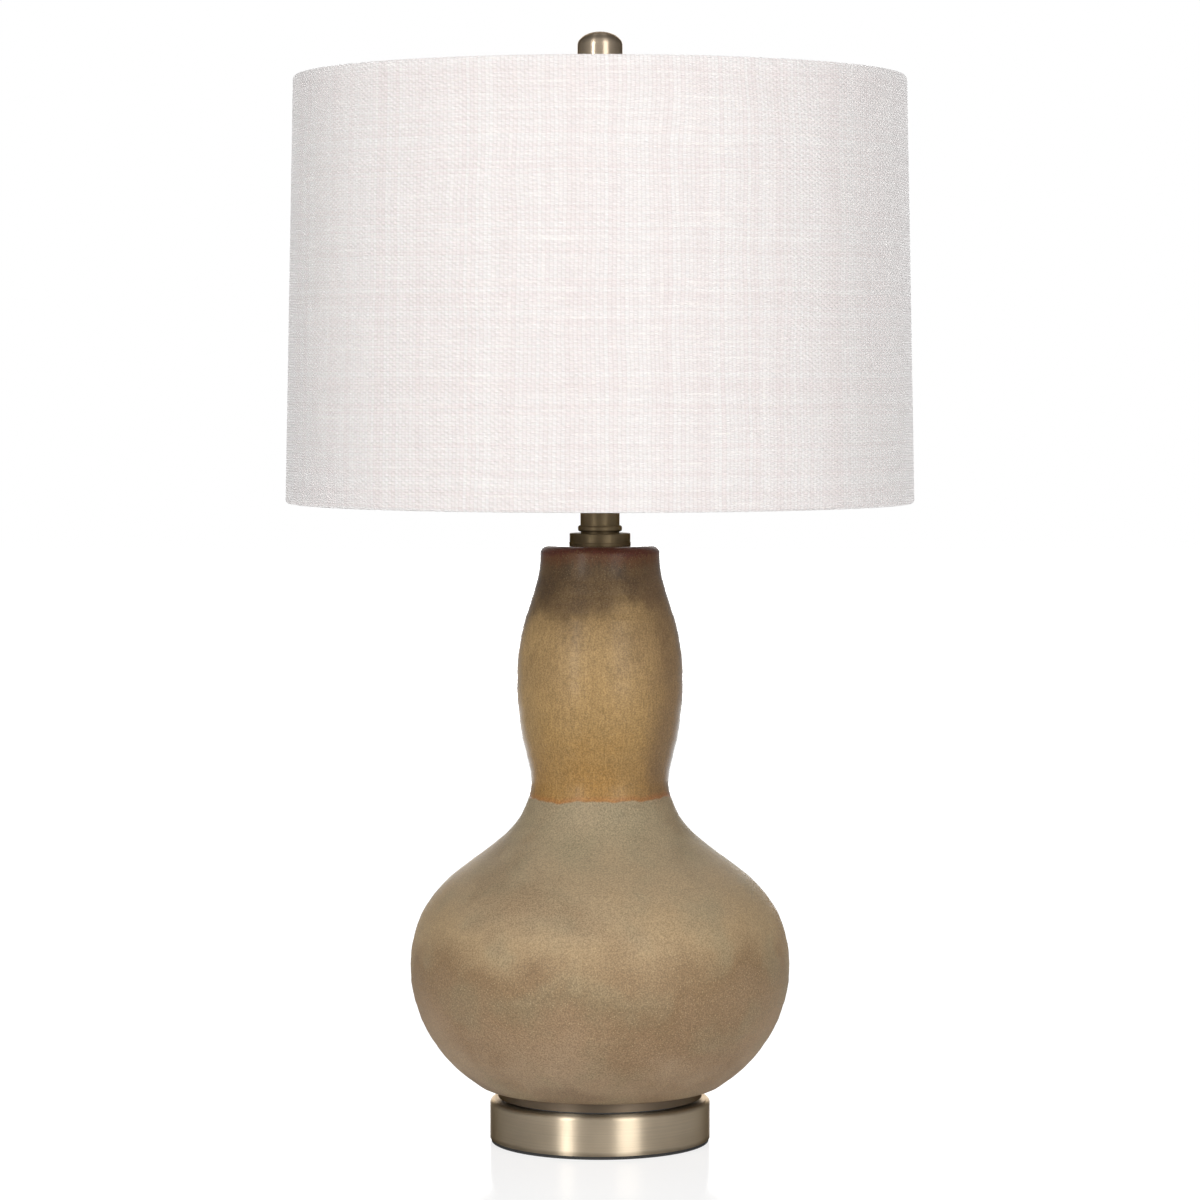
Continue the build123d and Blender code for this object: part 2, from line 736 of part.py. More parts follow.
def spider_arms():
    """Arms welded to the hub's rim and, where they rise, to the top ring."""
    height = z_hub + HUB_THICKNESS / 2
    arm = arm_rod(ARM_RADIUS) - shade_ring(1)
    arm -= disc(HUB_RADIUS, height - ARM_RADIUS, height + ARM_RADIUS)
    return Compound(children=round_arms(arm))


# ---------------------------------------------------------------- finial
def finial_insert():
    return washer(INSERT_RADIUS, insert_bore, z_hub_top, z_hub_top + INSERT_LENGTH)


def finial():
    """A slightly tapered thimble with a rounded crown, bored for its insert."""
    top = z_hub_top + FINIAL_TOP_HEIGHT
    shoulder = top - FINIAL_SHOULDER
    z_body_start = z_hub_top + FINIAL_FOOT_HEIGHT
    bore = INSERT_RADIUS + INSERT_CLEARANCE
    z_bore = z_hub_top + INSERT_LENGTH + INSERT_CLEARANCE
    edges = [
        Polyline(
            (0, top),
            (0, z_bore),
            (bore, z_bore),
            (bore, z_hub_top),
            (FINIAL_FOOT_RADIUS, z_hub_top),
            (FINIAL_FOOT_RADIUS, z_body_start),
            (FINIAL_BASE_RADIUS, z_body_start),
            (FINIAL_TOP_RADIUS, shoulder),
        ),
        Bezier(
            (FINIAL_TOP_RADIUS, shoulder),
            (FINIAL_TOP_RADIUS, shoulder + FINIAL_SHOULDER_FULLNESS),
            (FINIAL_CROWN_FULLNESS, top),
            (0, top),
        ),
    ]
    return revolve(outline_face(edges), Axis.Z)


# ---------------------------------------------------------------- socket
def socket_cap():
    z_hub_end = z_socket + SOCKET_HUB_HEIGHT
    z_rim_start = z_socket_rim - SOCKET_CAP_RIM
    inner = SOCKET_CAP_RADIUS - SOCKET_CAP_WALL
    cap = turned(
        [
            (thread_bore, z_socket),
            (SOCKET_HUB_RADIUS, z_socket),
            (SOCKET_HUB_RADIUS, z_hub_end - SOCKET_CAP_WALL),
            (SOCKET_CAP_RADIUS, z_rim_start),
            (SOCKET_CAP_RADIUS, z_socket_rim),
            (inner, z_socket_rim),
            (inner, z_rim_start + SOCKET_CAP_WALL),
            (SOCKET_HUB_RADIUS, z_hub_end),
            (thread_bore, z_hub_end),
        ]
    )
    hole_radius = SET_SCREW_RADIUS + PIPE_THREAD_CLEARANCE
    return cap - rearward(hole_radius, 0, SOCKET_HUB_RADIUS, z_socket + SET_SCREW_HEIGHT)


def set_screw():
    tip = thread_bore
    return rearward(SET_SCREW_RADIUS, tip, tip + SET_SCREW_LENGTH, z_socket + SET_SCREW_HEIGHT)


def stem_hole():
    """The way for the switch stem through the shell and the liner."""
    return frontward(STEM_RADIUS + STEM_HOLE_CLEARANCE, 0, -shell_outer, z_stem)


def socket_shell():
    top = z_shell + SOCKET_SHELL_LENGTH
    shell = washer(shell_outer, shell_inner, z_shell, top)
    return shell - stem_hole()


def socket_liner():
    top = z_shell + SOCKET_SHELL_LENGTH - SOCKET_FIT
    liner = washer(liner_outer, liner_inner, z_body, top)
    return liner - stem_hole()


def terminal_place(side):
    """The bottom of a terminal's recess, facing out along X."""
    return Pos(side * (body_radius - TERMINAL_LENGTH), 0, z_stem) * Rot(0, side * 90, 0)


def socket_body():
    body = disc(body_radius, z_body, z_body_top)
    stem_start = body_radius - STEM_DEPTH
    body -= frontward(STEM_RADIUS + STEM_FIT, -stem_start, -body_radius, z_stem)
    for side in (-1, 1):
        recess = disc(TERMINAL_RADIUS + TERMINAL_CLEARANCE, 0, TERMINAL_LENGTH)
        body -= terminal_place(side) * recess
    return body


def terminal_screws():
    head_top = TERMINAL_LENGTH - TERMINAL_CLEARANCE
    half_slot = TERMINAL_SLOT_WIDTH / 2
    slot = block(
        (-half_slot, half_slot),
        (-TERMINAL_RADIUS, TERMINAL_RADIUS),
        (head_top - TERMINAL_SLOT_DEPTH, head_top),
    )
    screw = disc(TERMINAL_RADIUS, 0, head_top) - slot
    return Compound(children=[terminal_place(side) * screw for side in (-1, 1)])


def screw_shell():
    outer = screw_shell_inner + SCREW_SHELL_WALL
    flange_top = z_body_top + SCREW_SHELL_WALL
    return turned(
        [
            (outer - SCREW_SHELL_FLANGE, z_body_top),
            (outer, z_body_top),
            (outer, z_body_top + SCREW_SHELL_HEIGHT),
            (screw_shell_inner, z_body_top + SCREW_SHELL_HEIGHT),
            (screw_shell_inner, flange_top),
            (outer - SCREW_SHELL_FLANGE, flange_top),
        ]
    )


def centre_contact():
    contact = disc(CONTACT_RADIUS, z_body_top, z_body_top + CONTACT_HEIGHT)
    rim = contact.edges().filter_by(GeomType.CIRCLE).sort_by(Axis.Z)[-1]
    return fillet(rim, CONTACT_ROUND)


def switch_stem():
    start = body_radius - STEM_DEPTH + STEM_FIT
    return frontward(STEM_RADIUS, -start, -(shell_outer + STEM_REACH), z_stem)


def switch_knob():
    """A ribbed turn knob pushed on the stem."""
    tip = shell_outer + STEM_REACH
    start = tip - KNOB_CORE_DEPTH
    end = start + KNOB_LENGTH
    knob = frontward(KNOB_RADIUS, -start, -end, z_stem)
    rim = knob.edges().filter_by(GeomType.CIRCLE).sort_by(Axis.Y)[0]
    knob = fillet(rim, KNOB_ROUND)
    for rib in range(KNOB_RIBS):
        angle = rib * 360 / KNOB_RIBS
        groove = frontward(KNOB_GROOVE_RADIUS, -start, -end, KNOB_RADIUS)
        knob -= Pos(0, 0, z_stem) * Rot(0, angle, 0) * groove
    return knob - switch_stem()


# ---------------------------------------------------------------- bulb
def bulb_tip():
    top = z_insulator
    tip = disc(BULB_TIP_RADIUS, z_tip, top)
    rim = tip.edges().filter_by(GeomType.CIRCLE).sort_by(Axis.Z)[0]
    return fillet(rim, BULB_TIP_ROUND)


def bulb_insulator():
    return turned(
        [
            (0, z_insulator),
            (BULB_TIP_RADIUS, z_insulator),
            (BULB_INSULATOR_RADIUS, z_bulb_cap),
            (0, z_bulb_cap),
        ]
    )


def bulb_cap():
    inner = BULB_CAP_RADIUS - BULB_CAP_WALL
    z_side = z_bulb_cap + BULB_CAP_TAPER
    hole = BULB_INSULATOR_RADIUS - BULB_CAP_TAPER
    return turned(
        [
            (hole, z_bulb_cap),
            (BULB_INSULATOR_RADIUS, z_bulb_cap),
            (BULB_CAP_RADIUS, z_side),
            (BULB_CAP_RADIUS, z_bulb_cap_top),
            (inner, z_bulb_cap_top),
            (inner, z_side + BULB_CAP_WALL),
            (BULB_INSULATOR_RADIUS, z_bulb_cap + BULB_CAP_WALL),
            (hole, z_bulb_cap + BULB_CAP_WALL),
        ]
    )


def bulb_outline(inset):
    """The glass's side and crown, moved in by inset, as edges from the neck to the axis."""
    neck = glass_neck - inset
    belly = BULB_RADIUS - inset
    shoulder = z_glass + BULB_SHOULDER_HEIGHT
    top = z_glass + BULB_GLASS_HEIGHT - inset
    z_neck = z_bulb_cap_top + BULB_GLASS_FIT
    crown_bend = belly * math.sqrt(0.5)
    return [
        Line((neck, z_glass), (neck, z_neck)),
        Bezier(
            (neck, z_neck),
            (neck, z_neck + BULB_NECK_FULLNESS),
            (belly, shoulder - BULB_NECK_FULLNESS),
            (belly, shoulder),
        ),
        ThreePointArc(
            (belly, shoulder),
            (crown_bend, shoulder + (top - shoulder) * math.sqrt(0.5)),
            (0, top),
        ),
    ]


def bulb_globe():
    outer = bulb_outline(0)
    inner = bulb_outline(BULB_GLASS_WALL)
    crown = z_glass + BULB_GLASS_HEIGHT
    closing = [
        Line((0, crown), (0, crown - BULB_GLASS_WALL)),
        Line((glass_neck - BULB_GLASS_WALL, z_glass), (glass_neck, z_glass)),
    ]
    return revolve(outline_face(outer + inner + closing), Axis.Z)


def bulb_stem():
    flare = glass_neck - BULB_GLASS_WALL - BULB_GLASS_FIT
    return turned(
        [
            (0, z_glass),
            (flare, z_glass),
            (flare, z_glass + BULB_STEM_FLARE),
            (BULB_STEM_RADIUS, z_glass + 2 * BULB_STEM_FLARE),
            (BULB_STEM_RADIUS, z_glass + BULB_STEM_HEIGHT),
            (0, z_glass + BULB_STEM_HEIGHT),
        ]
    )


def bulb_filament():
    """Filament wire between its two leads, which stand in the stem's top."""
    start = z_glass + BULB_STEM_HEIGHT
    lead = BULB_STEM_RADIUS - 2 * FILAMENT_RADIUS
    path = FilletPolyline(
        (-lead, 0, start),
        (-FILAMENT_HALF_SPAN, 0, start + FILAMENT_RISE),
        (FILAMENT_HALF_SPAN, 0, start + FILAMENT_RISE),
        (lead, 0, start),
        radius=FILAMENT_BEND,
    )
    return rod(path, FILAMENT_RADIUS) - bulb_stem()


# ---------------------------------------------------------------- write every node
def main():
    pieces = {
        "foot_pad": foot_pad(),
        "base_shell": base_shell(),
        "base_weight": base_weight(),
        "cord_bushing": cord_bushing(),
        "pipe_washer": pipe_washer(),
        "pipe_nut": pipe_nut(),
        "lamp_pipe": lamp_pipe(),
        "collar_spacer": collar_spacer(),
        "seat_collar": seat_collar(),
        "seat_gasket": seat_gasket(),
        "gourd_lower": gourd_lower(),
        "gourd_upper": gourd_upper(),
        "top_gasket": top_gasket(),
        "vase_cap": vase_cap(),
        "neck_ring": neck_ring(),
        "neck_tube": neck_tube(),
        "neck_cap": neck_cap(),
        "harp_saddle": harp_saddle(),
        "saddle_nut": saddle_nut(),
        "harp_wire": harp_wire(),
        "harp_sleeve_left": harp_sleeve(-1),
        "harp_sleeve_right": harp_sleeve(1),
        "harp_stud": harp_stud(),
        "spider_hub": spider_hub(),
        "spider_arms": spider_arms(),
        "shade_top_ring": shade_ring(1),
        "shade_bottom_ring": shade_ring(-1),
        "shade_liner": shade_liner(),
        "shade_fabric": shade_fabric(),
        "finial_insert": finial_insert(),
        "finial": finial(),
        "socket_cap": socket_cap(),
        "set_screw": set_screw(),
        "socket_shell": socket_shell(),
        "socket_liner": socket_liner(),
        "socket_body": socket_body(),
        "terminal_screws": terminal_screws(),
        "screw_shell": screw_shell(),
        "centre_contact": centre_contact(),
        "switch_stem": switch_stem(),
        "switch_knob": switch_knob(),
        "bulb_tip": bulb_tip(),
        "bulb_insulator": bulb_insulator(),
        "bulb_cap": bulb_cap(),
        "bulb_globe": bulb_globe(),
        "bulb_stem": bulb_stem(),
        "bulb_filament": bulb_filament(),
    }
    for node, shape in pieces.items():
        save(shape, node)
    print(f"overall height {z_hub_top + FINIAL_TOP_HEIGHT:.1f} mm")


main()
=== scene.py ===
# %% [markdown]
# # A double gourd table lamp
# The lamp has a glazed stoneware body in two swellings, a brushed brass base and neck, and a
# drum shade in slub linen with a small brass finial. The engineering model is already packed,
# with every piece in its place. This notebook gives it its surfaces: it loads that model,
# dresses the pieces that are right as they are, and makes the ones that need more than a
# plain solid, such as the cloth and the glaze. Lengths are in metres, +Z is up, and the front
# of the lamp faces -Y.

import math

import bmesh
import bpy
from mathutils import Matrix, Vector


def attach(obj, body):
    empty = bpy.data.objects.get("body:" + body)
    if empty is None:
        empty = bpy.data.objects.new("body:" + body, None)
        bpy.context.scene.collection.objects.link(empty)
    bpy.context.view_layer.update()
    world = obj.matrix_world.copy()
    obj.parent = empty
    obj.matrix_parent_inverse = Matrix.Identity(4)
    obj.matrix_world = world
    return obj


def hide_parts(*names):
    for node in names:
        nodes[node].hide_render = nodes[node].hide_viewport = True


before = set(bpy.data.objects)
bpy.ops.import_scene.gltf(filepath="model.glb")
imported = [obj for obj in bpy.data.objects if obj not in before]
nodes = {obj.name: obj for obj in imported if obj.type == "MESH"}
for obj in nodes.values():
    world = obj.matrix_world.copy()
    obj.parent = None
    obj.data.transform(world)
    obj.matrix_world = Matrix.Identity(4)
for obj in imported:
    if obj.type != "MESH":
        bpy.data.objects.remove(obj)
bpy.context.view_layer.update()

# %% [markdown]
# ## The view
# The photograph was taken with a long lens, a little above the middle of the lamp and looking
# slightly down, so the rims show as very flat ovals. A long lens far away keeps the shade's
# sides parallel; a short one close by would make the shade loom. The numbers come from
# matching the ovals of the base and of the shade.

# %% Camera
CAMERA_DISTANCE = 2.657
CAMERA_HEIGHT = 0.4995
CAMERA_PITCH = math.radians(90 - 3.155)
CAMERA_LENS = 123.0

camera_data = bpy.data.cameras.new("photo_camera")
camera_data.lens = CAMERA_LENS
camera_data.sensor_width = 36.0
camera_data.clip_end = 50.0
camera = bpy.data.objects.new("photo_camera", camera_data)
camera.location = (0, -CAMERA_DISTANCE, CAMERA_HEIGHT)
camera.rotation_euler = (CAMERA_PITCH, 0, 0)
bpy.context.scene.collection.objects.link(camera)
bpy.context.scene.camera = camera
bpy.context.scene.view_settings.view_transform = "Standard"
print("camera at", tuple(round(x, 3) for x in camera.location))

# %% [markdown]
# ## Wiring shader nodes
# A material is a small machine of nodes. Clicking them together by hand works well, but a
# script has to say which output feeds which input, and that soon hides the idea. Two short
# helpers keep it readable: one adds a node and plugs in whatever is given for its inputs,
# the other does one sum with a Math node.

# %% Node helpers
def add(tree, kind, inputs=None, **settings):
    """Adds a node. An input's value is a number, a colour or another node's output."""
    made = tree.nodes.new("ShaderNode" + kind)
    for name, value in settings.items():
        setattr(made, name, value)
    for name, value in (inputs or {}).items():
        socket = made.inputs[name]
        if isinstance(value, bpy.types.NodeSocket):
            tree.links.new(value, socket)
        else:
            socket.default_value = value
    return made


def calc(tree, operation, *values, clamp=False):
    """One sum, such as calc(tree, "MULTIPLY", a, 2.0). Returns the output."""
    inputs = dict(enumerate(values))
    return add(tree, "Math", inputs, operation=operation, use_clamp=clamp).outputs[0]


def blend_colours(tree, share, low, high, mode="MIX"):
    """Mixes two colours by a share from 0 to 1."""
    made = add(tree, "Mix", {0: share, 6: low, 7: high}, data_type="RGBA", blend_type=mode)
    return made.outputs[2]


def spread(tree, value, low, high, out_low=0.0, out_high=1.0):
    """Stretches the range low..high of a value to out_low..out_high, and stops there."""
    inputs = {0: value, 1: low, 2: high, 3: out_low, 4: out_high}
    return add(tree, "MapRange", inputs, interpolation_type="SMOOTHSTEP").outputs[0]


def rgb(red, green, blue):
    """A colour as read off a screen, 0 to 255, in the linear numbers that shaders use."""
    share = [c / 255 for c in (red, green, blue)]
    return tuple(((c + 0.055) / 1.055) ** 2.4 if c > 0.04045 else c / 12.92 for c in share) + (1.0,)


print("a mid grey of 128 is", round(rgb(128, 128, 128)[0], 3), "in linear light")


# %% [markdown]
# ## A group for places on a turned piece
# Almost everything here is round about the lamp's own axis. Brush marks run round it, glaze
# runs down it, and cloth is woven across it, so all of these need three numbers at each
# point: how far round, how high, and how far out. Texture coordinates could hold them, but
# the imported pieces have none. Working them out from the point itself needs no unwrapping,
# and one node group does it for every material.

# %% Group: round coordinates
def new_group(name, takes, gives):
    """An empty node group. takes and gives are {socket name: default number}."""
    tree = bpy.data.node_groups.new(name, "ShaderNodeTree")
    for socket_name, value in takes.items():
        kind = "NodeSocketVector" if isinstance(value, tuple) else "NodeSocketFloat"
        socket = tree.interface.new_socket(socket_name, in_out="INPUT", socket_type=kind)
        socket.default_value = value
    for socket_name, value in gives.items():
        kind = "NodeSocketVector" if isinstance(value, tuple) else "NodeSocketFloat"
        tree.interface.new_socket(socket_name, in_out="OUTPUT", socket_type=kind)
    return tree, tree.nodes.new("NodeGroupInput").outputs, tree.nodes.new("NodeGroupOutput")


def use_group(tree, group, **values):
    """Places a group in a material; an underscore in a name stands for a space."""
    inputs = {name.replace("_", " "): value for name, value in values.items()}
    return add(tree, "Group", inputs, node_tree=group).outputs


round_gives = {"Angle": 0.0, "Height": 0.0, "Radius": 0.0}
round_place, _, outputs = new_group("Round coordinates", {}, round_gives)
point = add(round_place, "TexCoord").outputs["Object"]
axes = add(round_place, "SeparateXYZ", {0: point}).outputs
backwards = calc(round_place, "MULTIPLY", axes[1], -1.0)
around = calc(round_place, "ARCTAN2", axes[0], backwards)
y_square = calc(round_place, "MULTIPLY", axes[1], axes[1])
squares = calc(round_place, "MULTIPLY_ADD", axes[0], axes[0], y_square)
round_place.links.new(around, outputs.inputs["Angle"])
round_place.links.new(axes[2], outputs.inputs["Height"])
round_place.links.new(calc(round_place, "SQRT", squares), outputs.inputs["Radius"])
print("group", round_place.name, "has", len(round_place.nodes), "nodes")


# %% [markdown]
# ## Groups for the finishes that several materials share
# Brushing leaves fine lines round a turned piece: long along the turn, very thin across it.
# Stretched noise looks just like that. The noise is read on the point itself and not on the
# angle, so it has no seam. Grain is the tiny speckle of fired clay, cast iron or moulded
# rubber, and clouds are its slow change from place to place. A band is a soft mask between
# two heights, for a darker foot or a worn rim.

# %% Groups: brush lines, grain and bands
brush_lines, taken, outputs = new_group(
    "Brush lines", {"Along": 12.0, "Across": 900.0}, {"Lines": 0.0, "Clouds": 0.0}
)
place = use_group(brush_lines, round_place)
point = add(brush_lines, "TexCoord").outputs["Object"]
axes = add(brush_lines, "SeparateXYZ", {0: point}).outputs
up_and_out = calc(brush_lines, "ADD", place["Height"], place["Radius"])
across = calc(brush_lines, "MULTIPLY", up_and_out, taken["Across"])
stretched = add(
    brush_lines,
    "CombineXYZ",
    {
        0: calc(brush_lines, "MULTIPLY", axes[0], taken["Along"]),
        1: calc(brush_lines, "MULTIPLY", axes[1], taken["Along"]),
        2: across,
    },
).outputs[0]
fine_inputs = {"Vector": stretched, "Scale": 1.0, "Detail": 3.0, "Roughness": 0.65}
fine = add(brush_lines, "TexNoise", fine_inputs)
slow = add(brush_lines, "TexNoise", {"Vector": point, "Scale": 22.0, "Detail": 2.0})
brush_lines.links.new(spread(brush_lines, fine.outputs[0], 0.3, 0.7), outputs.inputs["Lines"])
brush_lines.links.new(slow.outputs[0], outputs.inputs["Clouds"])

grain_group, taken, outputs = new_group("Grain", {"Scale": 900.0}, {"Grain": 0.0, "Clouds": 0.0})
point = add(grain_group, "TexCoord").outputs["Object"]
fine_inputs = {"Vector": point, "Scale": taken["Scale"], "Detail": 3.0, "Roughness": 0.6}
fine = add(grain_group, "TexNoise", fine_inputs)
slow_scale = calc(grain_group, "MULTIPLY", taken["Scale"], 0.04)
slow = add(grain_group, "TexNoise", {"Vector": point, "Scale": slow_scale, "Detail": 2.0})
grain_group.links.new(spread(grain_group, fine.outputs[0], 0.3, 0.7), outputs.inputs["Grain"])
grain_group.links.new(slow.outputs[0], outputs.inputs["Clouds"])

band_takes = {"Middle": 0.0, "Half width": 0.01, "Softness": 0.005, "Wander": 0.0}
band_group, taken, outputs = new_group("Height band", band_takes, {"Band": 0.0})
place = use_group(band_group, round_place)
point = add(band_group, "TexCoord").outputs["Object"]
drift = add(band_group, "TexNoise", {"Vector": point, "Scale": 28.0, "Detail": 2.0}).outputs[0]
wander = calc(band_group, "MULTIPLY", calc(band_group, "SUBTRACT", drift, 0.5), taken["Wander"])
height = calc(band_group, "ADD", place["Height"], wander)
distance = calc(band_group, "ABSOLUTE", calc(band_group, "SUBTRACT", height, taken["Middle"]))
edge = calc(band_group, "ADD", taken["Half width"], taken["Softness"])
inside = spread(band_group, distance, taken["Half width"], edge, 1.0, 0.0)
band_group.links.new(inside, outputs.inputs["Band"])
print("groups:", [group.name for group in bpy.data.node_groups])

# %% [markdown]
# ## Starting a material
# Every finish ends in the Principled shader, so one helper makes a material that holds it
# and a Material Output. Numbers that are the same all over the surface, such as how much a
# metal is a metal, are written on the shader itself; only what changes from point to point
# comes in through a link.

# %% New material
BUMP_DEFAULT = 0.2


def new_material(name, **fixed):
    """A material with only a Principled shader. fixed are its constant inputs."""
    material = bpy.data.materials.new(name)
    material.use_nodes = True
    tree = material.node_tree
    tree.nodes.clear()
    inputs = {key.replace("_", " "): value for key, value in fixed.items()}
    shader = add(tree, "BsdfPrincipled", inputs)
    output = add(tree, "OutputMaterial")
    tree.links.new(shader.outputs[0], output.inputs["Surface"])
    return material, tree, shader


def raise_surface(tree, shader, height, depth, strength=BUMP_DEFAULT):
    """Bump: tilts the light as if the height, from 0 to 1, stood up by depth metres."""
    bump = add(tree, "Bump", {"Height": height, "Distance": depth, "Strength": strength})
    tree.links.new(bump.outputs[0], shader.inputs["Normal"])


def dress(material, *names):
    """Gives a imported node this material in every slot."""
    for name in names:
        for slot in nodes[name].material_slots:
            slot.material = material
    print(material.name, "on", ", ".join(names))


# %% [markdown]
# ## Brushed antique brass
# The base, the collar and the finial are spun brass with an antique finish: a warm grey
# brown, brushed round and round, with a clear lacquer. A flat gold would look like toy
# metal. What makes it brass is that the reflection is soft and drawn out, a little
# rougher on some lines than on others, and a shade darker where the finish has pooled.
# Seen almost edge on, clean metal mirrors whatever is behind it, and the drum's upper edge
# would melt into a white background. An aged finish doesn't, so the tint of the Principled
# shader's edge is kept dark. One function writes all the metals, and each gets its own
# colour and coarseness.

# %% Metals
PATINA = (0.10, 0.075, 0.05, 1)
PATINA_SHARE = 0.5
PATINA_EDGE = 0.003
EDGE_TINT = (0.34, 0.30, 0.26, 1)
ROUND_BRUSHED = 0.25


def grey(tree, tone):
    """A grey whose three channels are all this tone, to multiply a colour by."""
    return add(tree, "CombineColor", {0: tone, 1: tone, 2: tone}).outputs[0]


def metal(
    name, colour, roughness, across=900.0, along=12.0, dark=0.75, depth=0.00001, drawn_out=0.0, patina=()
):
    """A brushed metal. dark is how far its slow clouds go down, drawn_out is how long the
    brushing makes a highlight, and patina lists (middle, half width) of its darker bands."""
    material, tree, shader = new_material(
        name, Metallic=1.0, Specular_Tint=EDGE_TINT, Anisotropic=drawn_out,
        Anisotropic_Rotation=ROUND_BRUSHED,
    )
    tangent = add(tree, "Tangent", direction_type="RADIAL", axis="Z").outputs[0]
    tree.links.new(tangent, shader.inputs["Tangent"])
    lines = use_group(tree, brush_lines, Along=along, Across=across)
    deep = tuple(c * dark for c in colour[:3]) + (1.0,)
    shade = spread(tree, lines["Clouds"], 0.35, 0.65)
    tone = blend_colours(tree, shade, deep, colour)
    streak = spread(tree, lines["Lines"], 0.0, 1.0, 0.93, 1.05)
    tone = blend_colours(tree, 1.0, tone, grey(tree, streak), "MULTIPLY")
    for middle, half_width in patina:
        place = {"Middle": middle, "Half_width": half_width}
        band = use_group(tree, band_group, Softness=PATINA_EDGE, Wander=PATINA_EDGE, **place)
        tone = blend_colours(tree, calc(tree, "MULTIPLY", band["Band"], PATINA_SHARE), tone, PATINA)
    tree.links.new(tone, shader.inputs["Base Color"])
    rough = spread(tree, lines["Lines"], 0.0, 1.0, roughness - 0.05, roughness + 0.07)
    tree.links.new(rough, shader.inputs["Roughness"])
    raise_surface(tree, shader, lines["Lines"], depth)
    return material


brushed_brass = metal(
    "brushed_brass", (0.60, 0.505, 0.375, 1), 0.40, across=1400.0, drawn_out=0.95, dark=0.85,
    patina=((0.0021, 0.0004),),
)
# Painted shade: the collar uses a darker copy of the brass that stands in for the shade in the recess
# under the gourd's foot.
painted_shade_collar_brass = metal("painted_shade_collar_brass", (0.20, 0.155, 0.11, 1), 0.52, across=1400.0, drawn_out=0.6, dark=0.75)
finial_brass = metal(
    "finial_brass", (0.48, 0.39, 0.29, 1), 0.34, across=2600.0, drawn_out=0.9, dark=0.9
)
# Painted shade: the neck, the harp and the spider use a darker copy of the brass that stands in for the
# shade under the lampshade.
dark_brass = metal("dark_brass", (0.22, 0.165, 0.095, 1), 0.50, across=1100.0, drawn_out=0.7, dark=0.6)
plain_brass = metal("plain_brass", (0.72, 0.58, 0.30, 1), 0.34, across=600.0, drawn_out=0.7, dark=0.85)
zinc_steel = metal("zinc_steel", (0.55, 0.55, 0.56, 1), 0.38, across=500.0, dark=0.8)
bright_nickel = metal("bright_nickel", (0.72, 0.71, 0.69, 1), 0.18, across=700.0, dark=0.9)
filament_wire = metal("filament_wire", (0.25, 0.25, 0.26, 1), 0.4, across=3000.0)
solder = metal("solder", (0.60, 0.60, 0.60, 1), 0.42, across=400.0, along=300.0, dark=0.8)

dress(brushed_brass, "base_shell")
dress(painted_shade_collar_brass, "seat_collar")
dress(dark_brass, "vase_cap", "neck_ring", "neck_tube", "neck_cap", "harp_saddle", "harp_wire")
dress(dark_brass, "harp_sleeve_left", "harp_sleeve_right", "harp_stud", "spider_hub", "spider_arms")
dress(plain_brass, "finial_insert", "socket_cap", "socket_shell", "terminal_screws")
dress(plain_brass, "screw_shell", "centre_contact", "switch_stem")
dress(zinc_steel, "pipe_washer", "pipe_nut", "lamp_pipe", "saddle_nut", "set_screw")
dress(zinc_steel, "shade_top_ring", "shade_bottom_ring")
dress(bright_nickel, "bulb_cap")
dress(filament_wire, "bulb_filament")
dress(solder, "bulb_tip")

# %% [markdown]
# ## Plain finishes
# Rubber, moulded plastic, cast iron, card and glass are quieter, but none of them is one
# flat colour either. Each has a grain of its own size, a slightly uneven shine, and a soft
# change of tone over a few centimetres. One function covers them, with the grain's size
# given as a number of specks per metre.

# %% Rubber, plastic, iron, card and glass
def plain(name, colour, roughness, scale, contrast=0.15, depth=0.0001, **fixed):
    """A quiet finish: grain of a given scale over slow clouds."""
    material, tree, shader = new_material(name, **fixed)
    grain = use_group(tree, grain_group, Scale=scale)
    light = tuple(min(1.0, c * (1 + contrast)) for c in colour[:3]) + (1.0,)
    deep = tuple(c * (1 - contrast) for c in colour[:3]) + (1.0,)
    half_grain = calc(tree, "MULTIPLY", grain["Grain"], 0.5)
    share = calc(tree, "MULTIPLY_ADD", grain["Clouds"], 0.5, half_grain)
    tree.links.new(blend_colours(tree, share, deep, light), shader.inputs["Base Color"])
    rough = spread(tree, grain["Grain"], 0.0, 1.0, roughness - 0.06, roughness + 0.06)
    tree.links.new(rough, shader.inputs["Roughness"])
    raise_surface(tree, shader, grain["Grain"], depth)
    return material


black_pad = plain("black_pad", (0.03, 0.03, 0.03, 1), 0.8, 1400.0, contrast=0.4, depth=0.0003)
black_rubber = plain("black_rubber", (0.04, 0.035, 0.03, 1), 0.7, 900.0, contrast=0.3)
black_plastic = plain("black_plastic", (0.03, 0.03, 0.03, 1), 0.38, 1800.0, contrast=0.2, depth=0.00004)
cast_iron = plain("cast_iron", (0.12, 0.12, 0.12, 1), 0.75, 500.0, contrast=0.4, depth=0.0006)
white_liner = plain("white_liner", (0.90, 0.89, 0.87, 1), 0.5, 700.0, contrast=0.03, depth=0.00005)
fibre_board = plain("fibre_board", (0.62, 0.52, 0.38, 1), 0.85, 1200.0, contrast=0.25)
black_glass = plain("black_glass", (0.03, 0.03, 0.03, 1), 0.12, 600.0, contrast=0.2, depth=0.00002)
frosted_glass = plain(
    "frosted_glass", (0.92, 0.92, 0.90, 1), 0.42, 2600.0, contrast=0.03, depth=0.00003,
    Transmission_Weight=0.25, IOR=1.45,
)
clear_glass = plain(
    "clear_glass", (0.90, 0.92, 0.92, 1), 0.08, 400.0, contrast=0.02, depth=0.00001,
    Transmission_Weight=1.0, IOR=1.5,
)

